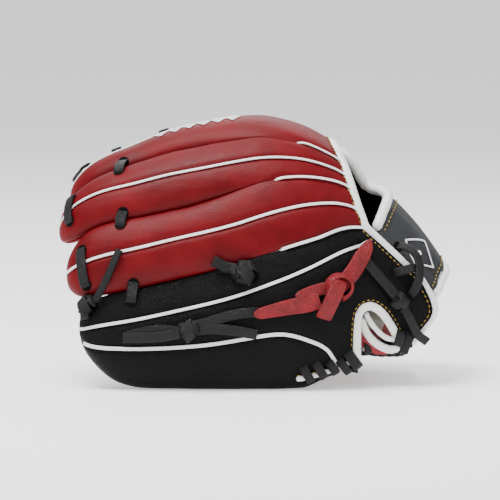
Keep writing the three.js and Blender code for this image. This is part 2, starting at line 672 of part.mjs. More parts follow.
// A knotted lace: a lump with one tail.
function knotLace(lump, tail) {
  return joined([ribbon(lump.map(spotAtHeight), 9, 5.5), ribbon(tail.map(spotAtHeight))]);
}
add(
  'pinky_tip_knot_lace',
  knotLace([[-115, 46, 4], [-111, 53, 4.4], [-106, 60, 5]], [[-108, 57, 5], [-100, 74, 4], [-90, 92, 2.4]]),
  'lace',
);
add(
  'base_knot_lace',
  knotLace([[-11, 79, 4.2], [-4, 77, 4.6], [4, 78, 4.2]], [[-8, 79, 4], [-16, 90, 6], [-25, 98, 3]]),
  'lace',
);

// ---- the red pull strap and the lace over the side wall by the wrist ----
function pullStrap() {
  const band = [
    [76, 93, 3.2], [68, 84, 3.2], [58, 72, 3.6], [48, 65, 3.6], [34, 61, 3.2], [18, 57, 3], [8, 54, 3],
  ].map(spotAtHeight);
  const wrap = [[58, 83, 5], [54, 70, 7.4], [46, 56, 5]].map(spotAtHeight);
  return joined([ribbon(band, 13, 3.2, 12), ribbon(wrap, 13, 6, 6)]);
}
add('pull_strap', pullStrap(), 'red');
function wristLace() {
  const tail = [[84, 88, 2.6], [92, 75, 2.8], [100, 62, 3.4], [110, 46, 3], [116, 37, 2.8]].map(spotAtHeight);
  const knot = [[96, 66, 4], [103, 60, 4.6], [110, 54, 4]].map(spotAtHeight);
  return joined([ribbon(tail, LACE_WIDTH, LACE_THICKNESS, 8), ribbon(knot, 9, 5)]);
}
add('wrist_lace', wristLace(), 'lace');

glove.position.set(-MIDDLE_X, -MIDDLE_Y, 0);
export default glove;
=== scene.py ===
import math
import bpy
import numpy as np
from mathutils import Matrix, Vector

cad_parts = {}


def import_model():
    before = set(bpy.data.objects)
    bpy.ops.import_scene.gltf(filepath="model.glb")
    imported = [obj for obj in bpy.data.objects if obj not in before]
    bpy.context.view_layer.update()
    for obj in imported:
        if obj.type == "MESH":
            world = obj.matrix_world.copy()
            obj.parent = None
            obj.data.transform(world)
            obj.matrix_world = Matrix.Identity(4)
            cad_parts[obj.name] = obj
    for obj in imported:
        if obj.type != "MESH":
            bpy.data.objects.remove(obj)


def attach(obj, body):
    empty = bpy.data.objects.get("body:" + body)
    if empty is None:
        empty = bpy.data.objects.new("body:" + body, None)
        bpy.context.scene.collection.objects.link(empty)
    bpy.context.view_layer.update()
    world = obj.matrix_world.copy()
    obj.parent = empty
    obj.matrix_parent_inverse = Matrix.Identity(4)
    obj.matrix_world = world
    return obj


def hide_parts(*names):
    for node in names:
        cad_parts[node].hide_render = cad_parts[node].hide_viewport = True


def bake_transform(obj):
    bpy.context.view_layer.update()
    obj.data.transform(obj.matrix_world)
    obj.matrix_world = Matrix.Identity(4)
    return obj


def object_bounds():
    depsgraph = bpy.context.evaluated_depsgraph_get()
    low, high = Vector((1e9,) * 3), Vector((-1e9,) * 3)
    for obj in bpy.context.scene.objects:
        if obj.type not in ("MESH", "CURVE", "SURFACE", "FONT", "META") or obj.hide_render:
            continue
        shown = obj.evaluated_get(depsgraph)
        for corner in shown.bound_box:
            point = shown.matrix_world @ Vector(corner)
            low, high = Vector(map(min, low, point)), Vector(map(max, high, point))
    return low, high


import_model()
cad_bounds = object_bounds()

# The glove's panels, welts and laces lie on one arch from the little finger's edge over the backs of the
# fingers to the thumb's edge, as in the CAD. A place is x along the fingers, turn in degrees round the arch
# and depth below it, in millimetres. The CAD's bounds fix where that arch stands.
FINGERS, THUMB = "finger_half", "thumb_half"
CAD_LENGTH = 275.82
CAD_LOW = np.array([-137.82, -88.65, 0.0])
MIDDLE = np.array([2.2, -3.8, 0.0])
low, high = (np.array(corner) for corner in cad_bounds)
MM = (high[0] - low[0]) / CAD_LENGTH
ORIGIN = low - (CAD_LOW + MIDDLE) * MM

LEATHER = 3.0
GAP = 0.4
VALLEY = 9.0
TUCK = 20.0
STALL_FRONT = 13.0
SECTION_POWER = 2.2
CROTCH_X = -16.0
WEB_DEPTH = 9.0
WEB_TURN = 25.0      # about the middle of the web
LACE = 7.4
WELT = 1.0
WELT_INSET = 0.25
DIP_WIDTH = 2.7
CAP_END = 0.9995     # how far round its cap a stall reaches
PANEL_X = 72.0       # where a back panel is shared out between its seams
RIM_STEP = 4.2    # the heel roll beyond the palm leather's edge


def through(*knots):
    """A smooth function through (x, value) knots, level beyond both ends."""
    xs = np.array([k[0] for k in knots], float)
    ys = np.array([k[1] for k in knots], float)
    before = np.maximum(np.arange(len(xs)) - 1, 0)
    after = np.minimum(np.arange(len(xs)) + 1, len(xs) - 1)
    slopes = (ys[after] - ys[before]) / (xs[after] - xs[before])

    def value(x):
        at = np.clip(np.asarray(x, float), xs[0], xs[-1])
        i = np.clip(np.searchsorted(xs, at, side="left") - 1, 0, len(xs) - 2)
        width = xs[i + 1] - xs[i]
        t = (at - xs[i]) / width
        return (ys[i] * (2 * t**3 - 3 * t**2 + 1) + slopes[i] * width * (t**3 - 2 * t**2 + t)
                + ys[i + 1] * (3 * t**2 - 2 * t**3) + slopes[i + 1] * width * (t**3 - t**2))
    return value


def smoothstep(x, start, end):
    t = np.clip((np.asarray(x, float) - start) / (end - start), 0, 1)
    return t * t * (3 - 2 * t)


crown_height = through((-142, 116), (-131, 131), (-120, 142.5), (-105, 153), (-84, 162), (-50, 175),
                       (0, 183.5), (30, 179), (57, 165.5), (80, 146), (100, 126), (120, 103), (138, 78))
half_width = through((-142, 57), (-120, 70), (-90, 79), (-50, 84), (0, 86), (40, 82), (70, 73), (100, 61),
                     (120, 54), (138, 49))
centre_height = through((-142, 34), (-50, 30), (0, 30), (40, 34), (70, 44), (100, 53), (138, 55))


def arch(x, turn):
    x, turn = np.broadcast_arrays(np.asarray(x, float), np.asarray(turn, float))
    rise = crown_height(x) - centre_height(x)
    a = np.radians(turn)
    return np.stack([x, half_width(x) * np.sin(a), centre_height(x) + rise * np.cos(a)], -1)


def unit(v):
    return v / np.maximum(np.linalg.norm(v, axis=-1, keepdims=True), 1e-9)


def arch_normal(x, turn):
    along = arch(np.asarray(x) + 0.5, turn) - arch(np.asarray(x) - 0.5, turn)
    around = arch(x, np.asarray(turn) + 0.5) - arch(x, np.asarray(turn) - 0.5)
    return unit(np.cross(along, around))


def place(x, turn, depth=0.0):
    return arch(x, turn) - arch_normal(x, turn) * np.asarray(depth, float)[..., None]


def turn_at(x, z, side):
    cosine = (z - centre_height(x)) / (crown_height(x) - centre_height(x))
    return side * np.degrees(np.arccos(np.clip(cosine, -1, 1)))


# ---- seams ----
pinky_edge = through((-142, -95), (-121, -97), (-115, -99.7), (-98, -104), (-80, -105), (-50, -103.8),
                     (0, -103), (43, -105.5), (62, -106.4), (76, -111), (92, -127), (138, -128))
pinky_lower = through((-121, -92), (-80, -91), (-35, -89.3), (10, -87), (26, -87.3), (43, -90.5), (54, -95),
                      (63, -103), (72, -109), (92, -127), (138, -128))
pinky_upper = through((-121, -85.5), (-49, -79.7), (0, -75.2), (43, -68.5), (78, -58.8), (86, -53),
                      (138, -48))
ring_pinky = through((-140, -76), (-105, -74), (-49, -70.7), (0, -66.6), (45, -60), (80, -51), (138, -46))
ring_seam = through((-140, -63.5), (-105, -61), (-49, -59), (0, -55.3), (70, -43.5))
middle_ring = through((-140, -48), (-105, -47), (-49, -48.2), (0, -43.8), (66, -34.3))
middle_seam = through((-140, -31), (-105, -33.3), (-49, -35.7), (0, -34.1), (62, -28))
index_middle = through((-140, -15), (-105, -17), (-49, -20), (0, -22), (58, -20.3))
index_seam = through((-132, -1), (-80, 0), (-50, 3), (0, 8), (57, 9.5))
index_edge = through((-132, 14), (-50, 15), (0, 16), (57, 14))
web_width = through((-105, 52), (-50, 45), (-20, 30), (0, 12), (15, 3.5), (30, 1.5), (57, 0.7), (90, 0.7))
far_edge = through((57, 14.7), (66, 11.5), (73, 15), (77, 22), (81, 28), (86, 27), (91, 22), (95, 13),
                   (99, 8.5), (138, 8))


def thumb_inner(x):
    return np.where(np.asarray(x) < 57, index_edge(x) + web_width(x), far_edge(x))


def mirrored(seam):
    return lambda x: -seam(x)


thumb_upper, thumb_lower, thumb_edge = mirrored(pinky_upper), mirrored(pinky_lower), mirrored(pinky_edge)
back_edge = through((-62, 86), (-54, 83.5), (-49.8, 80.5), (-38, 73.5), (-22.4, 66.5), (-10, 60.5), (0, 58),
                    (15, 57))


class Stall:
    def __init__(self, low, high, tip, low_recess, high_recess, cap, power):
        self.low, self.high, self.tip, self.cap, self.power = low, high, tip, cap, power
        self.low_recess, self.high_recess = low_recess, high_recess


STALLS = {
    "pinky": Stall(pinky_edge, ring_pinky, -121, TUCK, VALLEY, 32, 3.2),
    "ring": Stall(ring_pinky, middle_ring, -132, VALLEY, VALLEY, 24, 2.3),
    "middle": Stall(middle_ring, index_middle, -139, VALLEY, VALLEY, 26, 2.3),
    "index": Stall(index_middle, index_edge, -132, VALLEY, VALLEY, 26, 2.3),
    "thumb": Stall(thumb_inner, thumb_edge, -104, VALLEY, TUCK, 36, 2.8),
}


def crease_share(x):
    return smoothstep(28 - np.asarray(x, float), 0, 75) * 0.92 + 0.04


def recess_share(recess, x):
    return (smoothstep(92 - np.asarray(x, float), 0, 60) if recess == TUCK else crease_share(x)) * recess


def spread(stall, x):
    """The turn at a stall's middle and half of its width in degrees."""
    return (stall.low(x) + stall.high(x)) / 2, (stall.high(x) - stall.low(x)) / 2


def stall_point(stall, x, across, inset=0.0, front=False, sunk=0.0):
    x, across, inset = np.broadcast_arrays(np.asarray(x, float), np.asarray(across, float),
                                           np.asarray(inset, float))
    across = np.clip(across, -1, 1)
    mid, half = spread(stall, x)
    half = half - np.degrees((inset + GAP / 4) / half_width(x))
    bulge = (1 - np.abs(across) ** SECTION_POWER) ** (1 / SECTION_POWER)
    shares = recess_share(stall.low_recess, x), recess_share(stall.high_recess, x)
    recess = np.where(across < 0, *shares)
    chord = shares[0] + (shares[1] - shares[0]) * (across + 1) / 2
    if front:
        depth = chord + LEATHER + GAP + (STALL_FRONT - LEATHER - GAP - inset) * bulge
    else:
        depth = recess * (1 - bulge) + inset + sunk
    point = place(x, mid + half * across, depth)
    cap_start = stall.tip + stall.cap
    along = np.clip((cap_start - x) / stall.cap, 0, CAP_END)
    shrink = ((1 - along**stall.power) ** (1 / stall.power))[..., None]
    core = place(x, mid, (STALL_FRONT + VALLEY) / 2)
    return core + (point - core) * shrink


def across_of(stall, x, turn):
    mid, half = spread(stall, x)
    return np.clip((turn - mid) / half, -1, 1)


def mm_per_degree(x, turn):
    a = np.radians(turn)
    rise = crown_height(x) - centre_height(x)
    return np.hypot(half_width(x) * np.cos(a), rise * np.sin(a)) * math.pi / 180


# Seams whose welt the leather dips to: the seam, its depth of dip, and the x where it starts and ends.
WELT_SEAMS = [(index_seam, 1.5, -200, 60), (middle_seam, 1.5, -200, 66), (ring_seam, 1.5, -200, 76),
              (pinky_upper, 1.5, -200, 78), (pinky_lower, 1.5, -200, 66),
              (thumb_upper, 1.5, -200, 84), (thumb_lower, 1.5, -200, 66),
              (ring_pinky, 1.3, 6, 82), (middle_ring, 1.3, 8, 76), (index_middle, 1.3, 8, 66)]


def ripple(x, turn):
    """Soft unevenness of stuffed leather, in mm."""
    s = turn * 0.045
    t = x * 0.01
    return (0.22 * np.sin(6.1 * t + 2.3 * s + 1.0) * np.sin(3.7 * s - 4.1 * t)
            + 0.14 * np.sin(15.3 * t - 5.2 * s) * np.sin(9.4 * s + 7.7 * t + 0.5)
            + 0.06 * np.sin(31.0 * t + 11.0 * s + 2.0) * np.sin(27.0 * s - 13.0 * t))


def dip(x, turn):
    total = np.zeros(np.broadcast(x, turn).shape)
    for seam, depth, start, end in WELT_SEAMS:
        away = (turn - seam(x)) * mm_per_degree(x, turn)
        active = smoothstep(x, start, start + 14) * (1 - smoothstep(x, end, end + 6))
        total += depth * active * np.exp(-(away / DIP_WIDTH) ** 2)
    return total - ripple(x, turn)


def surface(x, turn, lift=0.0):
    """A point on the outside of the glove's back, at lift mm above the leather."""
    x, turn, lift = np.broadcast_arrays(np.asarray(x, float), np.asarray(turn, float),
                                        np.asarray(lift, float))
    out = place(x, turn, WEB_DEPTH - lift)
    for stall in STALLS.values():
        inside = (turn >= stall.low(x)) & (turn <= stall.high(x))
        if inside.any():
            points = stall_point(stall, x, across_of(stall, x, turn), -lift, sunk=dip(x, turn))
            out = np.where(inside[..., None], points, out)
    return out


def surface_normal(x, turn):
    x, turn = np.asarray(x, float), np.asarray(turn, float)
    along = surface(x + 0.8, turn) - surface(x - 0.8, turn)
    around = surface(x, turn + 0.6) - surface(x, turn - 0.6)
    return unit(np.cross(along, around))


def find_turn(x, goal, start, end, slope=0.0):
    """The turn between start and end where the leather's height, plus slope times its y, meets the goal."""
    for count in (90, 40, 30):
        turns = np.linspace(start, end, count)
        points = surface(np.full(count, float(x)), turns)
        best = int(np.argmin(np.abs(points[:, 2] + slope * points[:, 1] - goal)))
        start, end = turns[max(best - 1, 0)], turns[min(best + 1, count - 1)]
    return float((start + end) / 2)


def turn_for_height(x, z, side=-1):
    """The turn at which the leather's surface is z mm above the ground."""
    return find_turn(x, z, 0, 126 * side)


# ---- making meshes ----
def world(points):
    return np.asarray(points, float).reshape(-1, 3) * MM + ORIGIN


def add_mesh(name, points, faces, material, body, nodes=(), slot=None, sharp=40):
    mesh = bpy.data.meshes.new(name)
    verts = world(points)
    verts[:, 2] = np.maximum(verts[:, 2], low[2])
    mesh.from_pydata([tuple(v) for v in verts], [], [tuple(int(i) for i in f) for f in faces])
    mesh.validate()
    mesh.update()
    for polygon in mesh.polygons:
        polygon.use_smooth = True
    mesh.set_sharp_from_angle(angle=math.radians(sharp))
    piece = bpy.data.objects.new(name, mesh)
    bpy.context.scene.collection.objects.link(piece)
    mesh.materials.append(material)
    if body:
        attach(piece, body)
    if nodes:
        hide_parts(*nodes)
    return piece


def grid_faces(rows, columns, start=0, wrap=False, flip=False):
    faces = []
    for i in range(rows - 1):
        for j in range(columns if wrap else columns - 1):
            k = (j + 1) % columns
            face = [start + i * columns + j, start + i * columns + k, start + (i + 1) * columns + k,
                    start + (i + 1) * columns + j]
            faces.append(face[::-1] if flip else face)
    return faces


def sheet_mesh(outer, inner):
    """Points and faces of a closed sheet between two grids of points."""
    rows, columns = outer.shape[:2]
    size = rows * columns
    points = np.concatenate([outer.reshape(-1, 3), inner.reshape(-1, 3)])
    faces = grid_faces(rows, columns) + grid_faces(rows, columns, size, flip=True)
    rim = ([(0, j) for j in range(columns)] + [(i, columns - 1) for i in range(1, rows)]
           + [(rows - 1, j) for j in range(columns - 2, -1, -1)] + [(i, 0) for i in range(rows - 2, 0, -1)])
    loop = [i * columns + j for i, j in rim]
    for a, b in zip(loop, loop[1:] + loop[:1]):
        faces.append([b, a, a + size, b + size])
    middle = outer.reshape(-1, 3)[size // 2] - inner.reshape(-1, 3)[size // 2]
    centre = outer[rows // 2, columns // 2]
    du = outer[min(rows // 2 + 1, rows - 1), columns // 2] - centre
    dv = outer[rows // 2, min(columns // 2 + 1, columns - 1)] - centre
    if np.dot(np.cross(dv, du), middle) < 0:
        faces = [f[::-1] for f in faces]
    return points, faces


def resample(points, count):
    """Evenly spaced points on a smooth curve through the given ones."""
    points = np.asarray(points, float)
    knots = np.concatenate([[0],
                            np.cumsum(np.maximum(np.linalg.norm(np.diff(points, axis=0), axis=1), 1e-6))])
    curves = [through(*zip(knots, points[:, k])) for k in range(points.shape[1])]
    fine = np.linspace(0, knots[-1], max(count * 4, 40))
    dense = np.stack([c(fine) for c in curves], -1)
    lengths = np.concatenate([[0], np.cumsum(np.linalg.norm(np.diff(dense[:, :3], axis=0), axis=1))])
    even = np.linspace(0, lengths[-1], count)
    return np.stack([np.interp(even, lengths, dense[:, k]) for k in range(dense.shape[1])], -1)


def ring_section(sides, radius_a, radius_b, power=2.0):
    a = np.arange(sides) * 2 * math.pi / sides
    c, s = np.cos(a), np.sin(a)
    return np.stack([radius_a * np.sign(c) * np.abs(c) ** (2 / power),
                     radius_b * np.sign(s) * np.abs(s) ** (2 / power)], -1)


def swept_mesh(path, side, up, across, height):
    """A closed tube: each point's ring stands off it by across along side and by height along up."""
    rings = path[:, None] + side[:, None] * across[..., None] + up[:, None] * height[..., None]
    count, sides = rings.shape[:2]
    verts = np.concatenate([rings.reshape(-1, 3), path[:1], path[-1:]])
    faces = grid_faces(count, sides, wrap=True)
    first, last = count * sides, count * sides + 1
    for j in range(sides):
        k = (j + 1) % sides
        faces.append([first, k, j])
        faces.append([last, (count - 1) * sides + j, (count - 1) * sides + k])
    return verts, faces


def path_frame(path, facing):
    """The directions beside and above a path whose top faces a given way."""
    tangent = unit(np.gradient(path, axis=0))
    up = unit(facing - tangent * np.sum(facing * tangent, -1, keepdims=True))
    return np.cross(tangent, up), up


def tube_mesh(points, normals, section, scale=None):
    """A closed tube: section is (side, up) offsets round each point; scale shrinks it at each point."""
    scale = np.ones(len(points)) if scale is None else np.asarray(scale)
    return swept_mesh(points, *path_frame(points, normals), section[None, :, 0] * scale[:, None],
                      section[None, :, 1] * scale[:, None])


def round_ends(count, length, radius):
    """Scale factors that round a tube off at both ends."""
    s = np.linspace(0, length, count)
    near = np.minimum(s, length - s)
    return np.sqrt(np.clip(1 - (1 - np.clip(near / radius, 0, 1)) ** 2, 0.02, 1))


def any_normals(points):
    centre = np.array([0.0, 0.0, 40.0])
    return unit(points - centre)


def joined_mesh(parts):
    verts, faces, offset = [], [], 0
    for v, f in parts:
        verts.append(np.asarray(v).reshape(-1, 3))
        faces += [[i + offset for i in face] for face in f]
        offset += len(verts[-1])
    return np.concatenate(verts), faces


# ---- materials ----
def new_material(name):
    material = bpy.data.materials.new(name)
    material.use_nodes = True
    tree = material.node_tree
    return material, tree, tree.nodes["Principled BSDF"]


def leather(name, light, dark, rough=(0.4, 0.55), cell=0.0011, depth=0.25, patch=0.03, crease=0.3,
            specular=0.5):
    """Leather: blotchy dye, pebbled grain, fine creases and uneven polish. Sizes are in metres."""
    material, tree, shader = new_material(name)

    def node(kind, values=None, **settings):
        made = tree.nodes.new("ShaderNode" + kind)
        for key, value in settings.items():
            setattr(made, key, value)
        for socket, value in (values or {}).items():
            made.inputs[socket].default_value = value
        return made

    where = node("TexCoord").outputs["Object"]
    blotch = node("TexNoise", {"Scale": 1 / patch, "Detail": 5, "Roughness": 0.6})
    ramp = node("ValToRGB")
    for stop, position, color in zip(ramp.color_ramp.elements, (0.30, 0.68), (dark, light)):
        stop.position, stop.color = position, (*color, 1)
    grain = node("TexVoronoi", {"Scale": 1 / cell}, feature="DISTANCE_TO_EDGE")
    warp = node("TexNoise", {"Scale": 0.35 / cell, "Detail": 2})
    mixer = node("VectorMath", operation="MULTIPLY_ADD")
    mixer.inputs[1].default_value = (cell * 0.8,) * 3
    widen = node("MapRange", {"From Max": 0.35})
    fine = node("TexNoise", {"Scale": 1 / (cell * 0.35), "Detail": 3})
    folds = node("TexNoise", {"Scale": 1 / 0.012, "Detail": 6, "Roughness": 0.7})
    add_fine = node("Math", {1: 0.35}, operation="MULTIPLY_ADD")
    add_folds = node("Math", {1: crease * 3}, operation="MULTIPLY_ADD")
    bump = node("Bump", {"Strength": depth, "Distance": 0.0004})
    polish = node("MapRange", {"To Min": rough[0], "To Max": rough[1], "From Min": 0.3, "From Max": 0.7})
    for output, target, socket in [
            (where, blotch, "Vector"), (where, warp, "Vector"), (warp.outputs["Color"], mixer, 0),
            (where, mixer, 2), (mixer.outputs["Vector"], grain, "Vector"), (where, fine, "Vector"),
            (where, folds, "Vector"), (blotch.outputs["Fac"], ramp, "Fac"),
            (ramp.outputs["Color"], shader, "Base Color"), (grain.outputs["Distance"], widen, "Value"),
            (fine.outputs["Fac"], add_fine, 0), (widen.outputs["Result"], add_fine, 2),
            (folds.outputs["Fac"], add_folds, 0), (add_fine.outputs["Value"], add_folds, 2),
            (add_folds.outputs["Value"], bump, "Height"), (bump.outputs["Normal"], shader, "Normal"),
            (blotch.outputs["Fac"], polish, "Value"), (polish.outputs["Result"], shader, "Roughness")]:
        tree.links.new(output, target.inputs[socket])
    shader.inputs["Specular IOR Level"].default_value = specular
    return material


RED = leather("red_leather", (0.140, 0.0012, 0.0046), (0.085, 0.0006, 0.0024), (0.36, 0.50), specular=0.14)
RED_STRAP = leather("red_rawhide", (0.230, 0.0045, 0.010), (0.105, 0.0016, 0.004), (0.38, 0.52), cell=0.0014,
                    depth=0.8, patch=0.009, specular=0.30)
PALM_RED = leather("palm_leather", (0.26, 0.009, 0.018), (0.18, 0.005, 0.010), (0.45, 0.6), specular=0.4)
BLACK = leather("black_leather", (0.0034, 0.0034, 0.0039), (0.0012, 0.0012, 0.0015), (0.38, 0.58),
                cell=0.0014, depth=0.75, specular=0.09)
STRAP_BLACK = leather("strap_leather", (0.021, 0.023, 0.027), (0.011, 0.012, 0.0145), (0.5, 0.62),
                      cell=0.0014, depth=0.6, specular=0.34)
WHITE = leather("white_leather", (0.86, 0.855, 0.84), (0.78, 0.77, 0.755), (0.28, 0.4), cell=0.0014,
                depth=0.10, crease=0.15)
LACE_BLACK = leather("black_lace", (0.0034, 0.0034, 0.0037), (0.0012, 0.0012, 0.0014), (0.30, 0.50),
                     cell=0.0009, depth=0.6, specular=0.25)
FELT = leather("wool_felt", (0.45, 0.41, 0.35), (0.34, 0.31, 0.26), (0.9, 1.0), cell=0.0006, depth=0.6)
GOLD_THREAD = leather("gold_thread", (0.55, 0.34, 0.03), (0.42, 0.24, 0.015), (0.45, 0.6), cell=0.0003,
                      depth=0.3)
BLACK_THREAD = leather("black_thread", (0.012, 0.012, 0.012), (0.006, 0.006, 0.006), (0.5, 0.65), cell=0.0003,
                       depth=0.3, specular=0.3)
# The lace holes' near-black, dull colour is painted shade: it stands for the dark inside of a punched hole.
PAINTED_HOLE_SHADE = leather("lace_hole", (0.003, 0.003, 0.003), (0.0015, 0.0015, 0.0015), (0.8, 0.9), specular=0.1)
WHITE_THREAD = leather("white_thread", (0.85, 0.85, 0.84), (0.7, 0.7, 0.69), (0.5, 0.6), cell=0.0005,
                       depth=0.5)

# ---- camera, lights and floor ----
VIEW_ELEVATION = math.radians(6)
CAMERA_DISTANCE = 4.0
VIEW_WIDTH = 0.350
AIM = ORIGIN + np.array([0.0, 0.0, 88.8]) * MM
camera_data = bpy.data.cameras.new("camera")
camera = bpy.data.objects.new("camera", camera_data)
bpy.context.scene.collection.objects.link(camera)
camera_data.sensor_width = 36
camera_data.lens = 36 * CAMERA_DISTANCE / VIEW_WIDTH
camera.location = AIM + CAMERA_DISTANCE * np.array([0, -math.cos(VIEW_ELEVATION), math.sin(VIEW_ELEVATION)])
camera.rotation_euler = (math.pi / 2 - VIEW_ELEVATION, 0, 0)
camera_data.clip_end = 20
bpy.context.scene.camera = camera


def area_light(name, location, aim, size, power):
    data = bpy.data.lights.new(name, "AREA")
    data.shape = "RECTANGLE"
    data.size, data.size_y = size
    data.energy = power
    light = bpy.data.objects.new(name, data)
    bpy.context.scene.collection.objects.link(light)
    light.location = location
    direction = np.array(aim) - np.array(location)
    light.rotation_euler = Vector(direction).to_track_quat("-Z", "Y").to_euler()


area_light("top_light", (-0.3, -0.25, 1.2), (0, 0, 0.08), (0.8, 0.6), 30)
area_light("front_light", (-0.6, -1.6, 0.5), (0, 0, 0.06), (1.0, 0.6), 2)
area_light("side_light", (1.3, -0.4, 0.8), (0, 0, 0.08), (0.8, 0.8), 5)
area_light("back_light", (0.1, 1.1, 1.0), (0, 0, 0.1), (1.2, 0.8), 10)
backdrop = bpy.data.worlds.new("studio")
bpy.context.scene.world = backdrop
backdrop.use_nodes = True
backdrop.node_tree.nodes["Background"].inputs["Color"].default_value = (1, 1, 1, 1)
backdrop.node_tree.nodes["Background"].inputs["Strength"].default_value = 0.62

floor_mesh = bpy.data.meshes.new("floor")
reach = 14.0          # metres, far enough to fill the view
floor_mesh.from_pydata([(-reach, -reach, 0), (reach, -reach, 0), (reach, reach, 0), (-reach, reach, 0)], [],
                       [(0, 1, 2, 3)])
floor = bpy.data.objects.new("floor", floor_mesh)
bpy.context.scene.collection.objects.link(floor)
floor.location = (0, 0, float(low[2]) - 0.0005)
floor_material, _, floor_shader = new_material("floor")
floor_shader.inputs["Base Color"].default_value = (0.95, 0.95, 0.95, 1)
floor_shader.inputs["Emission Color"].default_value = (1, 1, 1, 1)
floor_shader.inputs["Emission Strength"].default_value = 0.55
floor_shader.inputs["Roughness"].default_value = 0.6
floor_mesh.materials.append(floor_material)


# ---- backs of the stalls ----
def stations(stall, start_x, count, cap_share=0.4):
    """x from the wrist end to the tip, closer together round the cap; start_x may vary across."""
    f = np.linspace(0, 1, count)[:, None]
    cap_start = stall.tip + stall.cap
    body = 1 - cap_share
    straight = start_x + (cap_start - start_x) * np.clip(f / body, 0, 1)
    curved = cap_start - stall.cap * CAP_END * np.sin(np.clip((f - body) / cap_share, 0, 1) * math.pi / 2)
    return np.where(f < body, straight, curved)


def seam_angle(stall, seam, x):
    return np.arccos(-across_of(stall, x, seam(x)))


def back_panel(name, stall, seam_low, seam_high, wrist, material, body, nodes, slot, columns=26, rows=120,
               cap_share=0.33):
    w = np.linspace(0, 1, columns)[None, :]
    probe = -np.cos(seam_angle(stall, seam_low, PANEL_X) * (1 - w) + seam_angle(stall, seam_high,
                                                                                PANEL_X) * w)
    turn = stall.low(PANEL_X) + (stall.high(PANEL_X) - stall.low(PANEL_X)) * (probe + 1) / 2
    x = stations(stall, wrist(turn), rows, cap_share)
    angle = seam_angle(stall, seam_low, x) * (1 - w) + seam_angle(stall, seam_high, x) * w
    across = -np.cos(angle)
    mid, half = spread(stall, x)
    sunk = dip(x, mid + half * across)
    outer = stall_point(stall, x, across, 0.0, sunk=sunk)
    inner = stall_point(stall, x, across, LEATHER, sunk=sunk)
    points, faces = sheet_mesh(outer, inner)
    add_mesh(name, points, faces, material, body, nodes, slot)


for finger, stall, seams, names in [
        ("ring", STALLS["ring"], (ring_pinky, ring_seam, middle_ring), ("outer", "inner")),
        ("middle", STALLS["middle"], (middle_ring, middle_seam, index_middle), ("outer", "inner")),
        ("index", STALLS["index"], (index_middle, index_seam, index_edge), ("outer", "inner"))]:
    for i, part in enumerate(names):
        back_panel(f"{finger}_back_{part}_leather", stall, seams[i], seams[i + 1], lambda t: back_edge(t) - 1,
                   RED, FINGERS, [f"{finger}_back_{part}"], "red_leather")
back_panel("pinky_back_leather", STALLS["pinky"], pinky_upper, ring_pinky, lambda t: back_edge(t) - 1,
           BLACK, FINGERS, ["pinky_back_panel"], "black_leather")
back_panel("thumb_back_leather", STALLS["thumb"], thumb_inner, thumb_upper, lambda t: np.full_like(t, 134.0),
           BLACK, THUMB, ["thumb_back_panel"], "black_leather", columns=60, rows=190, cap_share=0.25)
back_panel("pinky_outer_leather", STALLS["pinky"], pinky_edge, pinky_lower, lambda t: np.full_like(t, 64.0),
           BLACK, FINGERS, ["pinky_outer_panel"], "black_leather", columns=36, rows=150)
back_panel("thumb_outer_leather", STALLS["thumb"], thumb_lower, thumb_edge, lambda t: np.full_like(t, 64.0),
           BLACK, THUMB, ["thumb_outer_panel"], "black_leather", columns=36, rows=150)


def front_panel(name, stall, body, nodes, columns=30, rows=90):
    w = np.linspace(0, 1, columns)[None, :]
    x = stations(stall, np.full_like(w, CROTCH_X), rows, 0.4)
    across = -np.cos(math.pi * w) + 0 * x
    outer = stall_point(stall, x, across, 0.0, True)
    inner = stall_point(stall, x, across, LEATHER, True)
    points, faces = sheet_mesh(outer, inner)
    add_mesh(name, points, faces, PALM_RED, body, nodes, "red_leather")


for finger, stall in STALLS.items():
    front_panel(f"{finger}_front_leather", stall, THUMB if finger == "thumb" else FINGERS,
                [f"{finger}_front"])

# ---- side walls of the little finger and the thumb ----
WALL_EDGE = [(76, 114), (80.5, 111), (87.5, 104), (103, 89.5), (108.5, 84), (115.5, 79), (121, 71),
             (127.4, 58), (127.8, 49), (122.5, 40.5), (116, 33.5), (112.5, 27)]
REAR_EDGE = [(135, 75), (134, 60), (130, 50), (122.5, 40.5), (116, 33.5), (112.5, 27)]
NOTCH_EDGE = [(74.5, 14), (74.2, 29), (74.2, 41), (75, 51), (78.5, 56), (84, 57), (91, 52.5), (98, 42.5),
              (102.5, 33), (103, 25.5)]


def wall_point(side, x, z, depth):
    return place(x, turn_at(x, z, side), depth)


def wall_path(edge, side, depth=1.5):
    return np.array([wall_point(side, x, z, depth) for x, z in edge])


def smooth_outline(edge, count=60):
    return resample([(x, z, 0) for x, z in edge], count)[:, :2]


def prism(name, outline, y_low, y_high):
    outline = [tuple(p) for p in outline]
    area = sum(a[0] * b[1] - b[0] * a[1] for a, b in zip(outline, outline[1:] + outline[:1]))
    if area < 0:
        outline = outline[::-1]
    n = len(outline)
    points = [(x, y_low, z) for x, z in outline] + [(x, y_high, z) for x, z in outline]
    faces = [list(range(n)), list(range(2 * n - 1, n - 1, -1))]
    faces += [[(i + 1) % n, i, i + n, (i + 1) % n + n] for i in range(n)]
    mesh = bpy.data.meshes.new(name)
    mesh.from_pydata([tuple(v) for v in world(points)], [], faces)
    cutter = bpy.data.objects.new(name, mesh)
    bpy.context.scene.collection.objects.link(cutter)
    return cutter


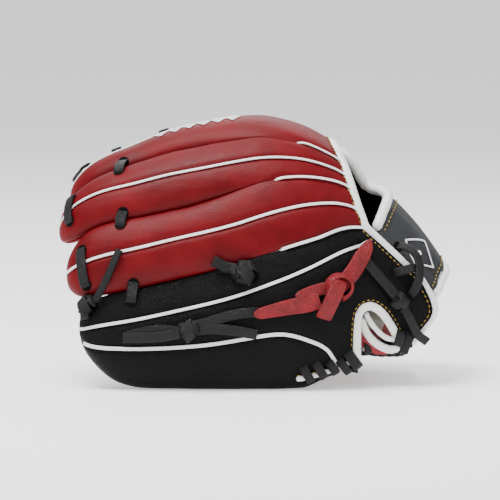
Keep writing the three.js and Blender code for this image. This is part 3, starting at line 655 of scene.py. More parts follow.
def cut_away(piece, cutters):
    for cutter in cutters:
        modifier = piece.modifiers.new("cut", "BOOLEAN")
        modifier.operation = "DIFFERENCE"
        modifier.solver = "EXACT"
        modifier.object = cutter
    bpy.context.view_layer.update()
    evaluated = piece.evaluated_get(bpy.context.evaluated_depsgraph_get())
    cut_mesh = bpy.data.meshes.new_from_object(evaluated)
    piece.modifiers.clear()
    old = piece.data
    piece.data = cut_mesh
    bpy.data.meshes.remove(old)
    for cutter in cutters:
        bpy.data.objects.remove(cutter)
    for polygon in piece.data.polygons:
        polygon.use_smooth = True
    piece.data.set_sharp_from_angle(angle=math.radians(40))


def side_wall(name, stall, side, upper, lower, body, nodes):
    w = np.linspace(0, 1, 44)[None, :]
    x = stations(stall, np.full_like(w, 137.0), 230, 0.24)
    angle = seam_angle(stall, upper, x) * (1 - w) + seam_angle(stall, lower, x) * w
    across = -np.cos(angle)
    mid, half = spread(stall, x)
    sunk = dip(x, mid + half * across)
    outer, inner = (stall_point(stall, x, across, inset, sunk=sunk) for inset in (0.0, LEATHER))
    points, faces = sheet_mesh(outer, inner)
    piece = add_mesh(name, points, faces, BLACK, body, nodes, "black_leather")
    edge = list(smooth_outline(WALL_EDGE if side < 0 else REAR_EDGE))
    start = edge[0][0]
    beyond = edge + [(112.5, -20), (200, -20), (200, 220), (start, 220)]
    notch = list(smooth_outline(NOTCH_EDGE)) + [(103, -20), (74.5, -20)]
    below = [(100, 26), (121, 26), (121, -20), (100, -20)]
    ground = [(-200, 0), (200, 0), (200, -60), (-200, -60)]
    y_low, y_high = (-200, 0) if side < 0 else (0, 200)
    cut_away(piece, [prism(f"{name}_cutter_{i}", o, y_low, y_high)
                     for i, o in enumerate([beyond, notch, below, ground])])


side_wall("pinky_side_leather", STALLS["pinky"], -1, pinky_upper, pinky_lower, FINGERS, ["pinky_side_wall"])
side_wall("thumb_side_leather", STALLS["thumb"], 1, thumb_upper, thumb_lower, THUMB, ["thumb_side_wall"])

# ---- palm and pads ----
def across_fold(piece, y_from=-34.0, y_to=15.0):
    """Bakes the piece's placement into its mesh; the piece is not bent between the finger half and the thumb
    half, and y_from and y_to are not used.
    """
    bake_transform(piece)


palm_width = through((-20, 62), (20, 61), (50, 60), (75, 61), (100, 57), (104, 56))
palm_top = through((-20, 157), (20, 143), (50, 104), (75, 60), (88, 38), (104, 24))
palm_rim_at = through((0, 98), (30, 100), (45, 97), (60, 86), (75, 72), (90, 64), (100, 62))
CREASE = 15.0
PALM = 5.0


def palm_rim(turn):
    return palm_rim_at(np.abs(turn))


def palm_face(x, turn):
    x, turn = np.broadcast_arrays(np.asarray(x, float), np.asarray(turn, float))
    swing = np.radians(turn * 0.9)
    shaped = np.stack([x, palm_width(x) * np.sin(swing), 4 + (palm_top(x) - 4) * np.cos(swing)], -1)
    following = place(x, turn, 22 + 5 * (turn / 100) ** 2)
    mix = smoothstep(x, CROTCH_X, 36)[..., None]
    return following * (1 - mix) + shaped * mix


def palm_point(x, turn, lift):
    along = palm_face(x + 0.5, turn) - palm_face(x - 0.5, turn)
    around = palm_face(x, turn + 0.5) - palm_face(x, turn - 0.5)
    return palm_face(x, turn) + unit(np.cross(along, around)) * np.asarray(lift, float)[..., None]


def palm_layer(name, low_turn, high_turn, low, high, short, material, body, nodes, slot, columns=60, rows=70):
    f, w = np.linspace(0, 1, rows)[:, None], np.linspace(0, 1, columns)[None, :]
    turn = low_turn + (high_turn - low_turn) * w + 0 * f
    x = CROTCH_X + 0.2 + (palm_rim(turn) - short - CROTCH_X - 0.2) * f
    soft = 0.35 * ripple(x * 2.1, turn * 1.7)
    outer = palm_point(x, turn, (high(x, turn) if callable(high) else high) + soft)
    inner = palm_point(x, turn, low + 0 * x + (soft if low > 0 else 0))
    points, faces = sheet_mesh(outer, inner)
    return add_mesh(name, points, faces, material, body, nodes, slot)


def pad_top(x, turn):
    swell = PALM + 2.8 + 4 * smoothstep(x, 0, 45) * smoothstep(np.abs(turn - 5), 12, 50)
    middle = np.where(turn < CREASE, -39, 48)
    edge = np.clip(np.minimum.reduce([x - CROTCH_X, palm_rim(turn) - 12 - x]) / 6, 0, 1)
    rounded = np.sqrt(edge * (2 - edge)) * (1 - 0.1 * np.abs(turn - middle) / 50)
    return PALM + 0.8 + (swell - PALM - 0.8) * rounded


PALM_STRETCH = (-44.0, 56.0)
for half, turns in [("fingers", (-90, CREASE - 0.1)), ("thumb", (CREASE + 0.1, 90))]:
    palm = palm_layer(f"palm_{half}_leather", *turns, 0.0, PALM, 0, PALM_RED, None, [f"palm_{half}"],
                      "red_leather")
    across_fold(palm, *PALM_STRETCH)
for half, turns in [("fingers", (-81, CREASE - 3.2)), ("thumb", (CREASE + 3.2, 81))]:
    pad = palm_layer(f"palm_pad_{half}_felt", *turns, PALM + 0.5, pad_top, 12, FELT, None,
                     [f"palm_pad_{half}"], "felt", columns=44)
    across_fold(pad, *PALM_STRETCH)

# ---- wrist strap ----
strap_front = through((-75, 84), (-60, 85), (-53, 87.5), (-40, 92.4), (-30, 94.5), (-15, 97), (0, 98),
                      (10, 98))
strap_rear = through((-78, 128), (-62, 134), (-45, 137), (0, 138), (10, 138))
STRAP = 4.0


def strap_point(x, turn, lift=0.0):
    depth = 5.5 * smoothstep(-np.asarray(turn, float), 22, 48)
    return place(x, turn, depth + STRAP - lift)


def strap_leather():
    f, w = np.linspace(0, 1, 110)[:, None], np.linspace(0, 1, 34)[None, :]
    turn = -76 + 88.5 * f + 0 * w
    x = strap_front(turn) + 2.6 + (strap_rear(turn) - strap_front(turn) - 5.2) * w
    crown = 0.9 * np.sin(math.pi * w) ** 0.5 + 0.9 * ripple(x * 1.3, turn)
    outer, inner = strap_point(x, turn, STRAP - 0.6 + crown), strap_point(x, turn, 0.2 + 0 * x)
    points, faces = sheet_mesh(outer, inner)
    piece = add_mesh("wrist_strap_leather", points, faces, STRAP_BLACK, None, ["wrist_strap"],
                     "black_leather")
    across_fold(piece)


strap_leather()

# ---- rolled bindings ----
def turns_path(edge, turns, lift=None, depth=1.5):
    if lift is None:
        return np.array([place(edge(t), t, depth) for t in turns])
    return np.array([strap_point(edge(t), t, lift) for t in turns])


def puckered_roll(name, path, radius, body, nodes, pucker=0.03, pitch=3.6, flat=0.94, wrinkle=0.0,
                  taper=((0, 1), (1, 1))):
    """A rolled leather binding, drawn in a little at each stitch."""
    length = np.sum(np.linalg.norm(np.diff(path, axis=0), axis=1))
    count = int(length / 0.75)
    points = resample(path, count)
    s = np.linspace(0, length, count)
    scale = round_ends(count, length, radius) * np.interp(s / length, *zip(*taper))
    uneven = wrinkle * np.sin(s * 0.83 + 1.3 * np.sin(s * 0.31))
    scale = scale * (1 + pucker * np.sin(2 * math.pi * s / pitch) + uneven)
    verts, faces = tube_mesh(points, any_normals(points), ring_section(20, radius, radius * flat), scale)
    return add_mesh(name, verts, faces, WHITE, body, nodes, "white_leather", sharp=75)


opening_path = np.concatenate([
    wall_path(WALL_EDGE[1:][::-1], -1), turns_path(back_edge, np.linspace(-46, 12, 14))])
puckered_roll("opening_roll", opening_path, 3.5, FINGERS, ["opening_binding_fingers"],
              taper=((0, 0.74), (0.3, 0.76), (0.52, 0.9), (0.7, 1), (1, 1)))
far_x = np.linspace(61, 93, 9)
far_path = np.array([place(x, far_edge(x), 1.5) for x in far_x])
front_path = turns_path(strap_front, np.linspace(6, -45, 14), lift=2.0)
far_roll = puckered_roll("opening_far_roll", np.concatenate([far_path, front_path]), 3.6, None,
                         ["opening_binding_thumb", "strap_front_binding"], wrinkle=0.03)
across_fold(far_roll)
rear_path = np.concatenate([
    turns_path(strap_rear, np.linspace(-73, 0, 14), lift=2.0),
    np.array([place(135.8, t, 1.5) for t in np.linspace(14, 60, 7)]), wall_path(REAR_EDGE[1:], 1)])
rear_roll = puckered_roll("rear_roll", rear_path, 3.4, None, ["strap_rear_binding", "rear_binding_thumb"],
                          taper=((0, 0.84), (1, 0.9)))
across_fold(rear_roll)
puckered_roll("pinky_notch_roll", wall_path(NOTCH_EDGE, -1), 3.1, FINGERS, ["pinky_notch_binding"])
puckered_roll("thumb_notch_roll", wall_path(NOTCH_EDGE, 1), 3.1, THUMB, ["thumb_notch_binding"])
rim_turns = np.linspace(-74, 74, 40)
rim_path = palm_point(palm_rim(rim_turns) + RIM_STEP, rim_turns, PALM / 2)
heel_roll = puckered_roll("heel_roll", rim_path, 2.9, None, ["heel_binding_fingers", "heel_binding_thumb"])
across_fold(heel_roll, *PALM_STRETCH)

# ---- welts ----
def twin_section(radius, sides=22):
    """Two cords side by side: the section of a double-piped welt."""
    a = np.arange(sides) * 2 * math.pi / sides
    offset = radius * 0.55
    small = radius * 0.57
    r = np.abs(np.cos(a)) * offset + np.sqrt(np.maximum(small**2 - (offset * np.sin(a)) ** 2, 0))
    return np.stack([r * np.cos(a), r * np.sin(a)], -1)


def seam_points(stall, seam, start, end, inset):
    x = start + (end - start) * np.linspace(0, 1, 120) ** 0.8
    return stall_point(stall, x, across_of(stall, x, seam(x)), inset)


def cord(name, points, radius, body, nodes):
    verts, faces = tube_mesh(points, any_normals(points), twin_section(radius))
    add_mesh(name, verts, faces, WHITE, body, nodes, "white_leather", sharp=80)


def welt(name, stall, seam, start, body, nodes, cap_share, radius):
    points = seam_points(stall, seam, start, stall.tip + stall.cap * cap_share, WELT_INSET)
    cord(name, resample(points, 260), radius, body, nodes)


def welt_start(seam):
    return float(back_edge(seam(70.0))) - 1.5


for name, stall, seam, start, body in [
        ("index_welt", "index", index_seam, welt_start(index_seam), FINGERS),
        ("middle_welt", "middle", middle_seam, welt_start(middle_seam), FINGERS),
        ("ring_welt", "ring", ring_seam, welt_start(ring_seam), FINGERS),
        ("pinky_upper_welt", "pinky", pinky_upper, 81.0, FINGERS),
        ("pinky_lower_welt", "pinky", pinky_lower, 66.0, FINGERS),
        ("thumb_upper_welt", "thumb", thumb_upper, 132.0, THUMB),
        ("thumb_lower_welt", "thumb", thumb_lower, 66.0, THUMB)]:
    cap_share, radius = (0.16, 1.2) if "lower" in name else (0.06, WELT)
    welt(f"{name}_cord", STALLS[stall], seam, start, body, [name], cap_share, radius)


def crease_welt(name, seam, end, nodes):
    x = np.linspace(welt_start(seam), end, 70)
    sink = smoothstep(-x, -end - 14, -end) * 4.5
    points = place(x, seam(x), recess_share(VALLEY, x) * 0.5 - 0.35 + sink)
    cord(name, points, WELT, FINGERS, nodes)


crease_welt("ring_pinky_welt_cord", ring_pinky, 14, ["ring_pinky_welt"])
crease_welt("middle_ring_welt_cord", middle_ring, 10, ["middle_ring_welt"])
crease_welt("index_middle_welt_cord", index_middle, 26, ["index_middle_welt"])

# ---- laces, straps and stitches ----
SIGHT = math.tan(VIEW_ELEVATION)


def seen(x, height):
    """The turn at which the leather on the little finger's side, seen from the side at the camera's
    elevation, stands this high at x."""
    return find_turn(x, height, 14, -116, SIGHT)


def on_side(*spots):
    """Points and normals on the little finger's side for (x, seen height, lift) spots."""
    turns = np.array([seen(x, height) for x, height, _ in spots])
    x = np.array([s[0] for s in spots], float)
    lift = np.array([s[2] for s in spots], float)
    normals = surface_normal(x, turns)
    return surface(x, turns) + normals * lift[:, None], normals


def on_turn(*spots):
    """Points and normals for (x, turn, lift) spots."""
    x, turns, lift = (np.array(column, float) for column in zip(*spots))
    normals = surface_normal(x, turns)
    return surface(x, turns) + normals * lift[:, None], normals


def ribbon_mesh(points, normals, width=LACE, thick=2.1, taper=None, count=None, power=4.5, sides=20):
    data = resample(np.hstack([points, unit(normals) * 5]), count or max(int(path_length(points) / 1.1), 10))
    path, facing = data[:, :3], unit(data[:, 3:])
    n = len(path)
    f = np.linspace(0, 1, n)
    widths = np.ones(n) if taper is None else np.interp(f, *zip(*taper))
    section = ring_section(sides, width / 2, thick / 2, power)
    return swept_mesh(path, *path_frame(path, facing), section[None, :, 0] * widths[:, None],
                      section[None, :, 1] + 0 * widths[:, None])


def path_length(points):
    return float(np.sum(np.linalg.norm(np.diff(points, axis=0), axis=1)))


def lace(name, spans, body=FINGERS, nodes=(), material=None, slot="lace", fold=False, stretch=(8, 40)):
    """One piece from several flat strips; a span is (points, normals) with its own width and so on."""
    piece = add_mesh(name, *joined_mesh([ribbon_mesh(*span[0], **span[1]) for span in spans]),
                     material or LACE_BLACK, None if fold else body, nodes, slot, sharp=50)
    if fold:
        across_fold(piece, *stretch)


HOLE_SHARE = 0.56    # a hole's radius, as a share of its lace's width
# Near-black discs under the lace ends, painted shade of the holes, gathered for each half.
hole_shade_marks = {FINGERS: [], THUMB: []}


def dimple(points, normals, radius=3.4):
    """A sunken eyelet under each lace: a shallow cone into the leather, coloured near-black as painted shade
    of the hole.
    """
    out = []
    angles = np.arange(20) * 2 * math.pi / 20
    for point, normal in zip(points, normals):
        side = unit(np.cross(normal, [0.0, 0.0, 1.0]) + 1e-9)
        up = np.cross(side, normal)
        rings = [point + normal * lift + side * (radius * share * np.cos(angles))[:, None]
                 + up * (radius * share * np.sin(angles))[:, None]
                 for lift, share in [(0.28, 1.0), (0.5, 0.7), (0.15, 0.5)]]
        verts = np.concatenate(rings + [[point + normal * 0.1]])
        faces = grid_faces(3, 20, wrap=True) + [[60, 40 + (j + 1) % 20, 40 + j] for j in range(20)]
        out.append((verts, faces))
    return out


def short_lace(name, start, end, node, lift=1.5, body=FINGERS, finder=on_side, fold=False, width=LACE):
    """A lace that comes out of one hole and goes into another, with a near-black disc of painted hole shade
    under each end.
    """
    points, normals = finder((*start, 0.0), (*end, 0.0))
    gap = points[1] - points[0]
    facing = unit(normals[0] + normals[1])
    along = unit(gap)
    raised = lift + 0.05 * np.linalg.norm(gap)
    path = np.array([
        points[0] - along * 0.9 - normals[0] * 2.2, points[0] - along * 0.6 + normals[0] * 0.7 * lift,
        points[0] + gap * 0.22 + facing * raised, points[0] + gap * 0.5 + facing * (raised + 0.5),
        points[0] + gap * 0.78 + facing * raised, points[1] + along * 0.6 + normals[1] * 0.7 * lift,
        points[1] + along * 0.9 - normals[1] * 2.2])
    tilt = [unit(normals[0] - along * 1.6), unit(normals[0] - along * 0.8), facing, facing, facing,
            unit(normals[1] + along * 0.8), unit(normals[1] + along * 1.6)]
    lace(name, [((path, np.array(tilt)), {"width": width})], body, [node] if node else (), fold=fold)
    if not fold:
        hole_shade_marks[body] += dimple(points, normals, width * HOLE_SHARE)


short_lace("index_tip_lace_strip", (-122.2, 149.5), (-121.6, 139.5), "index_tip_lace")
short_lace("index_tip_lace_upper", (-120.0, 151.5), (-112.5, 154.5), None, width=5)
short_lace("middle_tip_lace_strip", (-124.2, 124.5), (-126.0, 109.0), "middle_tip_lace")
short_lace("ring_tip_lace_strip", (-116.3, 88.5), (-113.7, 64.5), "ring_tip_lace")
short_lace("index_middle_lace_strip", (-89.2, 150.2), (-91.0, 143.4), "index_middle_lace")
short_lace("middle_ring_lace_strip", (-88.6, 114.6), (-89.8, 106.2), "middle_ring_lace")
short_lace("ring_pinky_lace_strip", (-80.8, 65.6), (-82.0, 53.6), "ring_pinky_lace")


def local_frame(x, height, lift=0.0):
    """A frame on the side: along the fingers, up over the glove, and out of the leather."""
    turn = seen(x, height)
    at = surface(x, turn)
    out = surface_normal(x, turn)
    along = unit(surface(x + 1.5, turn) - surface(x - 1.5, turn))
    up = unit(np.cross(out, along))
    up = up if up[2] > 0 else -up
    return at + out * lift, along, up, out


def in_frame(frame_at, *spots):
    at, along, up, out = frame_at
    return np.array([at + along * a + up * b + out * c for a, b, c in spots])


def facings(frame_at, *spots):
    _, along, up, out = frame_at
    return unit(np.array([along * a + up * b + out * c for a, b, c in spots]))


def band(frame_at, spots, ways=None, **kw):
    """A strip through local spots; ways are the local directions it faces."""
    ways = ways or [(0, 0, 1)] * len(spots)
    return (in_frame(frame_at, *spots), facings(frame_at, *ways)), kw


def flat_run(*spots, **kw):
    return on_side(*spots), kw


def knot_spans(frame_at, angle, size=1.0, width=6.4):
    """An overhand knot in a flat lace: a coil round the standing part and a turn that crosses it."""
    c, s = math.cos(angle), math.sin(angle)

    def turned(spots):
        return [(size * (a * c - b * s), size * (a * s + b * c), size * h) for a, b, h in spots]
    coil = [(-2.5, -4.6, 1.0), (-2.2, -5.0, 3.4), (-1.2, -3.0, 5.8), (0.2, 0.4, 6.8), (1.4, 3.4, 5.6),
            (2.2, 5.0, 3.2), (2.4, 4.6, 0.9)]
    coil_ways = [(0, -1, -0.3), (0, -1, 0.3), (0, -0.6, 1), (0, 0, 1), (0, 0.6, 1), (0, 1, 0.3), (0, 1, -0.3)]
    cross = [(4.8, -3.6, 1.0), (5.2, -2.6, 3.6), (3.8, -0.2, 5.2), (0.6, 2.6, 4.9), (-3.0, 4.2, 3.6),
             (-4.8, 3.2, 1.6), (-4.4, 1.6, 0.8)]
    cross_ways = [(1, -0.5, 0), (1, -0.4, 0.8), (0.5, 0, 1), (0, 0.3, 1), (-0.4, 0.6, 1), (-1, 0.4, 0.6),
                  (-1, 0, 0.2)]
    under = [(-5.6, -1.0, 1.4), (-3.0, -0.4, 2.4), (0.0, 0.0, 3.0), (3.2, 0.4, 2.4), (5.8, 0.6, 1.4)]

    def turned_ways(ways):
        return [(a * c - b * s, a * s + b * c, h) for a, b, h in ways]
    return [band(frame_at, turned(coil), turned_ways(coil_ways), width=width * size),
            band(frame_at, turned(cross), turned_ways(cross_ways), width=width * 0.92 * size),
            band(frame_at, turned(under), width=width * size, thick=3.0)]


# The knotted end at the base of the ring finger.
base = local_frame(-3.4, 72.8)
lace("base_knot_strip",
     knot_spans(base, math.radians(62), 1.28, 6.8)
     + [flat_run((-5.0, 72.2, 4.6), (-9.5, 74.2, 4.8), (-16.5, 78.2, 4.0), (-25.4, 82.0, 4.0), width=7.6,
                 thick=2.6)],
     nodes=["base_knot_lace"])
hole_shade_marks[FINGERS] += dimple(*on_side((2.2, 70.2, 0.0)), 4.2)

# The knot at the little finger's tip, its tail standing away from the leather.
tip = local_frame(-112.6, 49.0)
lace("pinky_tip_knot_strip",
     knot_spans(tip, math.radians(28), 1.12, 7.0)
     + [band(tip, [(-3.5, -9.0, 0.4), (-2.5, -6.5, 2.2), (-0.5, -2.0, 3.4), (1.0, 3.0, 3.2), (2.2, 8.6, 0.8)],
             width=7.4, thick=2.6),
        flat_run((-111.0, 52.0, 4.6), (-107.4, 57.6, 7.6), (-88.6, 86.4, 5.4), width=5.0, thick=3.4,
                 count=40)],
     nodes=["pinky_tip_knot_lace"])

# The little finger's adjusting lace: a doubled tail, a knot and two runs that go under the leather.
adjust = local_frame(-41.8, 33.4)
lace("pinky_adjust_strip",
     knot_spans(adjust, math.radians(38), 1.12, 6.8)
     + [flat_run((-87.0, 28.4, 1.6), (-75.0, 28.4, 1.9), (-60.0, 29.4, 2.2), (-48.0, 31.6, 3.4), width=7.4,
                 thick=2.3),
        flat_run((-84.0, 30.6, 1.1), (-72.0, 33.6, 1.4), (-60.0, 35.0, 1.6), (-49.0, 33.8, 2.4), width=4.6,
                 thick=1.6),
        flat_run((-37.0, 37.0, 3.0), (-26.0, 39.8, 1.9), (-14.0, 43.4, 1.9), (-4.0, 45.4, 1.8),
                 (5.0, 45.8, 0.2), width=7.2, thick=2.3),
        flat_run((-38.0, 33.6, 2.8), (-26.0, 34.4, 2.2), (-12.0, 33.4, 2.0), (4.6, 31.2, 1.6), width=7.4,
                 thick=2.3)],
     nodes=["pinky_adjust_lace"])

# The red pull strap: a long tail towards the fingers, a loop with the band crossing it, and a pointed end.
pull = local_frame(56.5, 60.6)


def around(radius_a, radius_b, centre, heights, start, end, count=15):
    """Spots round a standing loop, and the ways its strip faces: outwards all round."""
    angles = np.radians(np.linspace(start, end, count))
    spots = [(centre[0] + radius_a * math.cos(t), centre[1] + radius_b * math.sin(t), h)
             for t,
             h in zip(angles, np.interp(np.linspace(0, 1, count), np.linspace(0, 1, len(heights)), heights))]
    ways = [(math.cos(t), math.sin(t), 0.35) for t in angles]
    return spots, ways


ring_spots, ring_ways = around(8.8, 8.2, (4.8, 1.6), (3.8, 4.4, 5.2, 5.0, 4.0), 200, -88, 19)
lace("pull_strap_leather", [
    flat_run((2.6, 44.0, 1.8), (8.0, 45.2, 2.0), (16.0, 47.0, 2.1), (28.0, 49.6, 2.3), (38.0, 51.4, 3.0),
             (47.0, 54.2, 4.4), width=11.8, thick=2.6,
             taper=((0, 0.18), (0.03, 0.42), (0.10, 0.68), (0.4, 0.84), (0.75, 1), (1, 1))),
    (band(pull, ring_spots, ring_ways)[0], {"width": 8.0, "thick": 2.2}),
    band(pull, [(4.6, 7.6, 3.0), (4.4, 6.0, 6.6), (1.4, 1.4, 9.0), (-4.6, -7.6, 8.2), (-9.4, -15.6, 4.6),
                (-10.2, -17.2, 2.6)],
         [(0.5, 1.0, 0.3), (0.3, 0.6, 1), (0, 0, 1), (0, -0.1, 1), (-0.2, -0.4, 1), (-0.4, -0.8, 0.8)],
         width=11.0, thick=2.5),
    flat_run((58.0, 61.0, 3.2), (63.0, 66.0, 4.4), (69.0, 72.6, 3.6), (75.0, 81.8, 3.0), (79.0, 88.4, 3.2),
             (82.2, 94.0, 3.8), width=11.6, thick=2.6,
             taper=((0, 0.9), (0.35, 1), (0.72, 0.96), (0.86, 0.78), (0.95, 0.5), (1, 0.2))),
    flat_run((31.4, 55.6, 2.6), (38.0, 58.6, 3.2), (46.0, 61.4, 3.6), (52.0, 62.4, 3.6), width=8.6, thick=2.4,
             taper=((0, 0.55), (0.12, 0.85), (1, 1))),
], nodes=["pull_strap"], material=RED_STRAP, slot="red_leather")

# The lace over the side wall by the wrist, and its arc across the rolled edge.
wrist = local_frame(102.6, 52.6)
lace("wrist_lace_strip",
     knot_spans(wrist, math.radians(-40), 0.98, 6.4)
     + [flat_run((78.6, 81.6, 1.6), (84.0, 75.2, 1.9), (92.0, 66.0, 2.0), (99.6, 56.8, 3.0), width=7.4,
                 thick=2.2),
        flat_run((104.6, 49.6, 3.6), (108.6, 42.4, 4.2), (113.6, 32.4, 5.2), (119.6, 21.2, 5.8), width=6.2,
                 thick=2.4),
        flat_run((102.8, 92.0, -1.6), (104.6, 90.6, 2.4), (109.0, 86.2, 5.6), (112.8, 80.4, 6.8),
                 (114.6, 72.6, 6.8), (113.8, 64.4, 5.2), (111.4, 58.6, 1.8), (110.4, 57.0, -1.4), width=6.4,
                 thick=2.2),
        flat_run((99.6, 72.6, -1.2), (101.4, 73.2, 2.2), (105.0, 74.0, 5.0), (110.0, 74.4, 6.0),
                 (113.6, 74.0, 4.6), width=6.2, thick=2.2)],
     nodes=["wrist_lace"])
hole_shade_marks[FINGERS] += dimple(*on_side((102.6, 91.0, 0.0), (99.8, 72.8, 0.0), (110.8, 57.6, 0.0)), 3.9)

# Laces from the index finger over to the web.
for i, (x, start) in enumerate([(-93.0, 0.3), (-60.0, 0.4), (-30.0, 0.64)]):
    mid, half = spread(STALLS["index"], x)
    begin = float(mid + half * start)
    edge = float(index_edge(x))
    width_turn = float(thumb_inner(x)) - edge
    short_lace(f"web_lace_{i + 1}_strip", (x, begin), (x - 1.5, edge + 1.4 + 0.14 * width_turn),
               f"web_lace_{i + 1}", finder=on_turn, fold=True, lift=1.8)

# ---- heel lacing ----
low_edge = [(32.6, -0.6), (40.0, 0.6), (48.0, 2.6), (57.0, 5.2), (65.0, 8.4), (72.0, 12.4)]


def low_point(x, height, out):
    points, normals = on_side((x, max(height, 1.5), 0.0))
    point = points[0] + normals[0] * out
    point[2] = max(height - SIGHT * point[1], 2.1)
    return point


lower_roll = np.array([low_point(x, height, 0.9) for x, height in low_edge])
puckered_roll("heel_edge_roll", lower_roll, 2.0, FINGERS, [], pucker=0.04)


def lace_wrap(centre, along, out, radius=(3.6, 3.2), width=6.0, start=-150, end=150, thick=2.0):
    """A flat lace that wraps a rolled edge: an arc round the roll, from a hole above it to one below."""
    up = unit(np.cross(along, out))
    up = up if up[2] > 0 else -up
    angles = np.radians(np.linspace(start, end, 18))
    points = np.array([centre + out * radius[0] * math.cos(t) + up * radius[1] * math.sin(t) for t in angles])
    points[:, 2] = np.maximum(points[:, 2], thick * 0.6)
    ways = unit(np.array([out * math.cos(t) * radius[1] + up * math.sin(t) * radius[0] for t in angles]))
    return (points, ways), {"width": width, "thick": thick}


def side_out(x, height):
    points, normals = on_side((x, height, 0.0))
    return points[0], unit(normals[0] * [0.3, 1, 0.2])


heel_spans = []
for x, height, tall, lean in [(40.2, 3.4, 6.2, 0.35), (49.6, 6.0, 6.6, 0.4), (58.4, 8.0, 5.4, 0.45)]:
    point, out = side_out(x, max(height, 2.0))
    centre = low_point(x, height, -0.6)
    heel_spans.append(lace_wrap(centre, unit(np.array([1.0, 0, 0.2 + lean])), out, (3.8, tall), 6.2, -150,
                                160))
for x, height, tall, width in [(66.0, 9.4, 7.6, 6.0), (71.6, 13.4, 8.4, 7.4)]:
    point, out = side_out(x, height)
    centre = low_point(x, height, -1.6)
    heel_spans.append(lace_wrap(centre, unit(np.array([1.0, 0, 0.75])), out, (4.6, tall * 0.9), width, -165,
                                165))
for x, height, tall in [(103.4, 27.6, 6.0), (108.4, 25.2, 8.4)]:
    points, normals = on_side((x, height, -1.2))
    heel_spans.append(lace_wrap(points[0], unit(np.array([1.0, 0.0, -0.25])),
                                unit(normals[0] * [0.2, 1, 0.1]), (5.4, tall), 6.2, -150, 150))
lace("heel_lace_pinky", heel_spans)


def rim_wraps(name, turns):
    spans = []
    for turn in turns:
        point = palm_point(palm_rim(turn) + RIM_STEP, turn, PALM / 2)
        ahead = palm_point(palm_rim(turn + 1) + RIM_STEP, turn + 1, PALM / 2)
        behind = palm_point(palm_rim(turn - 1) + RIM_STEP, turn - 1, PALM / 2)
        along = unit(ahead - behind)
        lifted, flat = (palm_point(palm_rim(turn), turn, lift) for lift in (1.0, 0.0))
        out = unit(np.cross(along, lifted - flat))
        out = out if out[0] > 0 else -out
        centre = point - out * 1.4
        up = unit(np.cross(out, along))
        angles = np.radians(np.linspace(-150, 150, 20))
        points = np.array([centre + out * 5.4 * math.cos(t) + up * 4.4 * math.sin(t) for t in angles])
        ways = unit(np.array([out * math.cos(t) * 4.4 + up * 5.4 * math.sin(t) for t in angles]))
        spans.append(((points, ways), {"width": 5.6, "thick": 1.9, "sides": 14}))
    lace(name, spans, fold=True, stretch=PALM_STRETCH)


rim_wraps("heel_lace_rim",
          [-72, -66, -60, -53, -46, -38, -30, -21, -12, -3, 6, 15, 24, 33, 41, 49, 56, 63, 69, 74])

# The palm liner's rolled edge, a fold of the lining and the palm's corner, seen through the notches.
liner_edge = [(76.5, 48.5), (78.5, 41.5), (83.0, 34.0), (89.5, 28.6), (97.0, 25.8), (103.6, 27.6)]
fold_edge = [(79.5, 52.5), (83.0, 45.6), (88.5, 38.6), (94.5, 34.0), (100.5, 32.6)]
corner_low = [(73.5, 38.0), (75.5, 31.0), (80.0, 26.0), (87.0, 22.5), (94.0, 22.0)]
for side, body, name in [(-1, FINGERS, "pinky"), (1, THUMB, "thumb")]:
    def inside(edge, y):
        return np.array([(x, side * (y - 0.16 * (x - 76)), z) for x, z in edge])
    puckered_roll(f"{name}_liner_roll", inside(liner_edge, 61.5), 2.9, body, [], pucker=0.02, wrinkle=0.02)
    puckered_roll(f"{name}_lining_fold", inside(fold_edge, 63.0), 1.9, body, [], pucker=0.0, wrinkle=0.05)
    top, bottom = resample(inside(liner_edge[:-1], 60.5), 40), resample(inside(corner_low, 60.0), 40)
    rows = np.stack([bottom + (top - bottom) * t + np.array([0, side * 1.4 * math.sin(math.pi * t), 0])
                     for t in np.linspace(0, 1, 9)])
    inner = rows - np.array([0, side * 2.2, 0])
    points, faces = sheet_mesh(rows, inner)
    add_mesh(f"{name}_palm_corner", points, faces, PALM_RED, body, (), "red_leather")

# ---- stitches ----
def stitch_mesh(path, normals, length, pitch, radius, offset=0.0):
    data = resample(np.hstack([path, unit(normals) * 5]), max(int(path_length(path) / 0.35), 20))
    points, facing = data[:, :3], unit(data[:, 3:])
    s = np.concatenate([[0], np.cumsum(np.linalg.norm(np.diff(points, axis=0), axis=1))])
    parts = []
    at = pitch / 2 + offset
    while at + length / 2 < s[-1]:
        t = np.linspace(at - length / 2, at + length / 2, 5)
        spine = np.stack([np.interp(t, s, points[:, k]) for k in range(3)], -1)
        face = np.stack([np.interp(t, s, facing[:, k]) for k in range(3)], -1)
        hump = np.array([-0.35, 0.15, 0.35, 0.15, -0.35])[:, None]
        parts.append(tube_mesh(spine + face * hump, face, ring_section(7, radius, radius * 0.8),
                               np.array([0.55, 0.95, 1, 0.95, 0.55])))
        at += pitch
    return parts


stitch_runs = {FINGERS: [], THUMB: [], None: []}
dark_runs = {FINGERS: [], THUMB: [], None: []}


def stitched(path, normals, body, pitch=3.7):
    stitch_runs[body] += stitch_mesh(path, normals, 1.8, pitch, 0.30)
    dark_runs[body] += stitch_mesh(path, normals, 1.5, pitch, 0.32, pitch / 2)


def beside_roll(turns, offset, lift=0.25):
    """A run of stitches on the backs, beside the roll of the opening."""
    x = back_edge(turns) - offset
    return surface(x, turns, lift), surface_normal(x, turns)


turns = np.linspace(-52, 11, 60)
stitched(*beside_roll(turns, 4.2), FINGERS)


def beside_edge(edge, side, offset, lift=0.25, count=60):
    """Stitches inside the leather beside a rolled edge given as x and z."""
    outline = smooth_outline(edge, count)
    direction = unit(np.gradient(outline, axis=0))
    inward = np.stack([direction[:, 1], -direction[:, 0]], -1) * offset
    moved = outline + inward
    turns = np.array([turn_for_height(x, z, side) for x, z in moved])
    return surface(moved[:, 0], turns, lift), surface_normal(moved[:, 0], turns)


